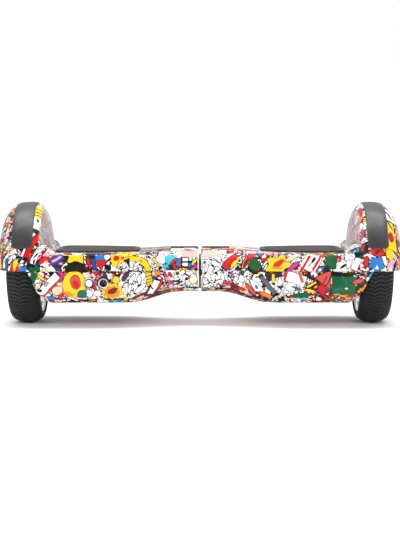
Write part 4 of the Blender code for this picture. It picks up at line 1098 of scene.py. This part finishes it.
def grip_pad(label, side, surface):
    """Foot pad: rolled edge round a sunk field of rows of raised lozenges."""
    bm = bmesh.new()
    high = pad_high.z
    field = high - 0.0008
    outline = pad_outline(0.0)
    centre = Vector(((pad_low.x + pad_high.x) / 2, 0.0))

    def ring(shrink, z):
        points = []
        for point in outline:
            towards = centre - point
            scale = Vector((shrink * towards.x / 0.059, shrink * towards.y / 0.060))
            points.append((side * (point.x + scale.x), point.y + scale.y, z))
        return points

    levels = ((0.0, PAD_BOTTOM), (0.0, high - 0.0012), (0.0004, high - 0.0004), (0.0012, high),
              (0.0045, high), (0.0051, field))
    loft(bm, [ring(shrink, z) for shrink, z in levels])
    lozenge = ((0.0029, 0), (0.0012, 0.0024), (-0.0012, 0.0024), (-0.0029, 0), (-0.0012, -0.0024),
               (0.0012, -0.0024))
    pitch_x, pitch_y = 0.0072, 0.0062
    columns = int((pad_high.x - pad_low.x - 0.014) / pitch_x)
    rows = int((2 * pad_high.y - 0.014) / pitch_y)
    for i in range(columns + 1):
        for j in range(rows + 1):
            x = centre.x + (i - columns / 2) * pitch_x + (0.25 if j % 2 else -0.25) * pitch_x
            y = (j - rows / 2) * pitch_y
            if not pad_low.x + 0.0090 < x < pad_high.x - 0.0090 or abs(y) > pad_depth(x) - 0.0095:
                continue
            steps = ((1.0, field - 0.0002), (1.0, high - 0.0003), (0.84, high))
            loft(bm, [[(side * (x + dx * scale), y + dy * scale, z) for dx, dy in lozenge]
                      for scale, z in steps])
    for y in PAD_STEM_YS:
        cylinder(bm, (side * PAD_STEM_OUT, y, 0.0990), (side * PAD_STEM_OUT, y, PAD_BOTTOM + 0.0003), 0.004)
    item = new_object(f"{label}_grip_pad", bm, 40)
    return finish_piece(item, surface, f"{label}_pad", f"{label}_foot_pad")


# --- wheels' covers ---
COVER_SCREWS = 8
COVER_SCREW_CIRCLE = 0.0588
COVER_RIBS = 12


def cover_screws(bm, centre_x, outward, face_x):
    """Button-head screws round a motor cover, each with a hexagon socket."""
    head = [(face_x + outward * rise, radius)
            for rise, radius in ((0.0, 0.0034), (0.0008, 0.0033), (0.0015, 0.0024), (0.0016, 0.0015))]
    socket = [(face_x + outward * rise, radius)
              for rise, radius in ((0.0016, 0.0015), (0.0006, 0.0014), (0.0006, 0.0))]
    for k in range(COVER_SCREWS):
        angle = 2 * math.pi * (k + 0.5) / COVER_SCREWS
        centre = (centre_x, COVER_SCREW_CIRCLE * math.cos(angle),
                  AXLE_Z + COVER_SCREW_CIRCLE * math.sin(angle))
        turn(bm, head, centre, 24)
        turn(bm, socket, centre, 6)


def motor_cover(label, side, outer, surface, screw_surface):
    """Die-cast cover with a stepped rim, a dished face, ribs and cooling recesses."""
    where = "outer" if outer else "inner"
    outward = side if outer else -side
    if outer:
        face = 0.0205
        profile = [(0.0165, 0.0695), (0.0180, 0.0695), (0.0190, 0.0686), (0.0196, 0.0672), (0.0196, 0.0655),
                   (face - 0.0008, 0.0645), (face - 0.0008, 0.0545), (0.0216, 0.0530), (0.0226, 0.0480),
                   (0.0230, 0.0400), (0.0222, 0.0385), (0.0222, 0.0300), (0.0234, 0.0285), (0.0242, 0.0240),
                   (0.0258, 0.0205), (0.0264, 0.0180), (0.0268, 0.0080), (0.0269, 0.0), (0.0240, 0.0),
                   (0.0240, 0.0156)]
    else:
        face = 0.0218
        profile = [(0.0165, 0.0695), (0.0196, 0.0695), (0.0208, 0.0690), (0.0215, 0.0680), (0.0218, 0.0666),
                   (0.0218, 0.0655), (face - 0.0006, 0.0648), (face - 0.0006, 0.0530), (0.0216, 0.0515),
                   (0.0219, 0.0470), (0.0224, 0.0430), (0.0240, 0.0388), (0.0252, 0.0320), (0.0262, 0.0285),
                   (0.0266, 0.0230), (0.0273, 0.0205), (0.0275, 0.0190), (0.0275, 0.0156)]
    profile += [(0.0170, 0.0156), (0.0172, 0.0500), (0.0165, 0.0600)]
    middle = side * WHEEL_OUT
    outline = [(middle + outward * x, radius) for x, radius in profile]
    bm = bmesh.new()
    turn(bm, outline, (0.0, 0.0, AXLE_Z), 96, closed=True)
    item = new_object(f"{label}_{where}_motor_cover", bm, 30)

    def ribs(bm):
        rib_place = Matrix.Translation((middle + outward * (0.0213 if outer else 0.0242), 0.0, AXLE_Z))
        for k in range(COVER_RIBS):
            made = block(bm, (-0.0020, -0.0009, 0.0290), (0.0020, 0.0009, 0.0390))
            turned = rib_place @ Matrix.Rotation(2 * math.pi * k / COVER_RIBS, 4, "X")
            bmesh.ops.transform(bm, matrix=turned, verts=made)

    carve(item, [("UNION", tool_object(ribs))])
    finish_piece(item, surface, f"{label}_wheel", f"{label}_wheel_{where}_cover")
    bm = bmesh.new()
    cover_screws(bm, middle, outward, outward * (face - 0.0008))
    screws = new_object(f"{label}_{where}_motor_cover_screws", bm, 30)
    return finish_piece(screws, screw_surface, f"{label}_wheel", None)


# --- small front pieces ---
def indicator_window(label, side, surface):
    """Flat lens with rounded corners and a softened top edge."""
    bm = bmesh.new()
    radius = 0.0035
    low, high = window_low, window_high
    plan = []
    for cx, cy, start in ((high.x - radius, high.y - radius, 0), (low.x + radius, high.y - radius, 90),
                          (low.x + radius, low.y + radius, 180), (high.x - radius, low.y + radius, 270)):
        for k in range(7):
            angle = math.radians(start + 15 * k)
            plan.append(Vector((cx + radius * math.cos(angle), cy + radius * math.sin(angle))))
    centre = Vector(((low.x + high.x) / 2, 0.0))

    def ring(shrink, z):
        return [(side * (centre.x + (p.x - centre.x) * shrink), p.y * shrink, z) for p in plan]

    levels = ((1.0, low.z), (1.0, high.z - 0.0005), (0.992, high.z - 0.0001), (0.975, high.z))
    loft(bm, [ring(shrink, z) for shrink, z in levels])
    item = new_object(f"{label}_indicator_window", bm, 40)
    return finish_piece(item, surface, f"{label}_half", f"{label}_indicator_panel")


def turned_on_panel(name, outline, x, steps, sharp, closed=True):
    """A piece turned round a line that runs straight back from the front panel."""
    bm = bmesh.new()
    turn(bm, outline, (x, 0.0, PANEL_Z), steps, "Y", closed=closed)
    return new_object(name, bm, sharp)


def charging_inlet(plastic, pin_metal, ring_metal):
    """Socket cup, its three pins and the plated ring round it."""
    socket_low, socket_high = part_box("charge_socket")
    face = socket_low.y
    inlet = turned_on_panel("charging_inlet", [
        (face, 0.0046), (face, 0.0056), (face + 0.0003, 0.0058), (socket_high.y, 0.0058),
        (socket_high.y, 0.0), (-0.0762, 0.0), (-0.0762, 0.0044), (face + 0.0010, 0.0045)],
        SOCKET_X, 48, 30)
    finish_piece(inlet, plastic, "left_half", "charge_socket")
    bm = bmesh.new()
    for k in range(3):
        angle = math.pi / 2 + 2 * math.pi * k / 3
        centre = (SOCKET_X + 0.0023 * math.cos(angle), 0.0, PANEL_Z + 0.0023 * math.sin(angle))
        turn(bm, [(-0.0760, 0.0008), (-0.0818, 0.0008), (-0.0824, 0.0005), (-0.0826, 0.0)], centre, 20, "Y")
    finish_piece(new_object("charging_pins", bm, 30), pin_metal, "left_half", None)
    ring = turned_on_panel("charging_inlet_ring", [
        (ring_high.y, 0.0054), (ring_low.y + 0.0002, 0.0054), (ring_low.y, 0.0057), (ring_low.y, 0.0066),
        (ring_low.y + 0.0003, 0.0071), (ring_high.y, 0.0072)], SOCKET_X, 64, 30)
    finish_piece(ring, ring_metal, "left_half", "charge_socket_ring")


def push_button(plastic, bezel_plastic):
    """Dished white button in a dark bezel."""
    bezel_low, bezel_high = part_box("power_button_bezel")
    button = turned_on_panel("push_button", [
        (button_high.y, 0.0), (button_high.y, 0.0048), (button_low.y + 0.0008, 0.0048),
        (button_low.y + 0.0003, 0.0045), (button_low.y, 0.0038), (button_low.y + 0.0005, 0.0026),
        (button_low.y + 0.0007, 0.0)], BUTTON_X, 48, 40, closed=False)
    finish_piece(button, plastic, "power_button", "power_button")
    bezel = turned_on_panel("push_button_bezel", [
        (bezel_high.y, 0.0052), (bezel_low.y + 0.0003, 0.0052), (bezel_low.y, 0.0054),
        (bezel_low.y, 0.0058), (bezel_low.y + 0.0004, 0.0060), (bezel_high.y, 0.0060)], BUTTON_X, 48, 40)
    finish_piece(bezel, bezel_plastic, "left_half", "power_button_bezel")


# --- surroundings ---
CAMERA_DISTANCE = 2.03
CAMERA_HEIGHT = 0.2255
CAMERA_TILT = 4.06
CAMERA_LENS = 93.65


def studio():
    """Pale floor that glows white far back, white surround, an overhead light and a front fill."""
    bm = bmesh.new()
    bmesh.ops.create_grid(bm, x_segments=1, y_segments=1, size=12.0)
    floor = new_object("studio_floor", bm)
    shader = Shader("studio_floor")
    _, y, _ = shader.split(shader.place())
    glow_at_the_back = shader.smooth_range(y, 0.3, 1.6, 0.0, 0.4)
    shader.set(Base_Color=(0.93, 0.93, 0.93, 1.0), Roughness=0.9, Specular_IOR_Level=0.1,
               Emission_Color=(1.0, 1.0, 1.0, 1.0), Emission_Strength=glow_at_the_back)
    floor.data.materials.append(shader.material)
    world = bpy.data.worlds.new("studio")
    world.use_nodes = True
    nodes, links = world.node_tree.nodes, world.node_tree.links
    direction = nodes.new("ShaderNodeSeparateXYZ")
    links.new(nodes.new("ShaderNodeTexCoord").outputs["Generated"], direction.inputs[0])
    fade = nodes.new("ShaderNodeMapRange")
    links.new(direction.outputs["Y"], fade.inputs["Value"])
    for socket, number in zip(fade.inputs[1:5], (-0.6, 0.0, 0.45, 1.0)):
        socket.default_value = number
    links.new(fade.outputs[0], nodes["Background"].inputs["Strength"])
    nodes["Background"].inputs["Color"].default_value = (1.0, 1.0, 1.0, 1.0)
    bpy.context.scene.world = world
    for name, place, aim, size, power in (
            ("overhead", (0.0, 0.10, 1.30), (0.0, 0.0, 0.0), (1.8, 0.8), 22.0),
            ("front_fill", (0.0, -2.3, 1.30), (0.0, 0.0, 0.08), (2.6, 1.0), 42.0)):
        lamp = bpy.data.lights.new(name, "AREA")
        lamp.shape = "RECTANGLE"
        lamp.size, lamp.size_y = size
        lamp.energy = power
        item = bpy.data.objects.new(name, lamp)
        item.location = place
        item.visible_glossy = name == "overhead"
        item.rotation_euler = (Vector(aim) - Vector(place)).to_track_quat("-Z", "Y").to_euler()
        bpy.context.scene.collection.objects.link(item)


def camera():
    """Straight on from the front at standing distance, a little above the deck."""
    data = bpy.data.cameras.new("camera")
    data.lens = CAMERA_LENS
    data.sensor_width = 36.0
    item = bpy.data.objects.new("camera", data)
    item.location = (0.0, -CAMERA_DISTANCE, CAMERA_HEIGHT)
    item.rotation_euler = (math.radians(90 - CAMERA_TILT), 0.0, 0.0)
    bpy.context.scene.collection.objects.link(item)
    bpy.context.scene.camera = item


# --- assembly ---
def dress_cad_nodes(looks):
    """Gives each CAD node that stays in view a finished material in place of its plain one."""
    slots = {entry["node"]: entry["material_slot"] for entry in frame["record"]["subparts"]}
    for node, item in frame["nodes"].items():
        surface = looks[slots[node]]
        item.data.materials.clear()
        item.data.materials.append(surface)


def main():
    camera()
    studio()
    looks = {
        "printed_shell": moulded_plastic("casing_plain", WHITE, 0.30, 0.4),
        "bumper_rubber": rubber("bumper_rubber", (0.021, 0.022, 0.024), 0.40, 1500.0, 0.12, 0.55),
        "pad_rubber": rubber("pad_rubber", (0.030, 0.026, 0.024), 0.55, 900.0, 0.35, 0.30),
        "tyre_rubber": rubber("tyre_rubber", (0.010, 0.010, 0.011), 0.62, 700.0, 0.25, 0.30),
        "motor_cover": painted_cover("motor_cover"),
        "dark_window": moulded_plastic("window_plain", (0.02, 0.02, 0.024), 0.15, 0.6),
        "cast_alloy": cast_alloy("cast_alloy"),
        "steel": metal("zinc_plated_steel", (0.60, 0.60, 0.61), 0.30, 260.0),
        "magnet_nickel": metal("magnet_nickel", (0.58, 0.57, 0.54), 0.20, 180.0),
        "enamelled_copper": copper_wire("enamelled_copper"),
        "bronze": metal("sintered_bronze", (0.55, 0.36, 0.14), 0.42, 800.0, tint=(0.20, 0.12, 0.05)),
        "circuit_board": circuit_board("circuit_board"),
        "cable_sleeve": rubber("cable_sleeve", (0.018, 0.018, 0.018), 0.50, 500.0, 0.2),
        "port_plastic": moulded_plastic("port_plastic", (0.012, 0.012, 0.013), 0.32),
        "button_plastic": moulded_plastic("button_plastic", (0.80, 0.80, 0.79), 0.25, 0.4),
        "battery_wrap": battery_wrap("battery_wrap"),
    }
    dress_cad_nodes(looks)
    prints = {
        "left": (printed_plastic("left_upper_print", True, 3.0, LEFT_UPPER),
                 printed_plastic("left_lower_print", False, 5.0, LEFT_LOWER)),
        "right": (printed_plastic("right_upper_print", True, 8.0, RIGHT_UPPER),
                  printed_plastic("right_lower_print", False, 13.0, RIGHT_LOWER)),
    }
    for label, side in SIDES:
        upper_casing(label, side, prints[label][0])
        lower_casing(label, side, prints[label][1])
        fender_strip(label, side, looks["bumper_rubber"])
        treaded_tyre(label, side, looks["tyre_rubber"])
        grip_pad(label, side, looks["pad_rubber"])
        indicator_window(label, side, dark_window(f"{label}_indicator_window", side))
        for outer in (False, True):
            motor_cover(label, side, outer, looks["motor_cover"], looks["steel"])
    charging_inlet(looks["port_plastic"], looks["steel"], looks["magnet_nickel"])
    push_button(looks["button_plastic"], looks["port_plastic"])


main()
bpy.context.scene.view_settings.view_transform = "Standard"
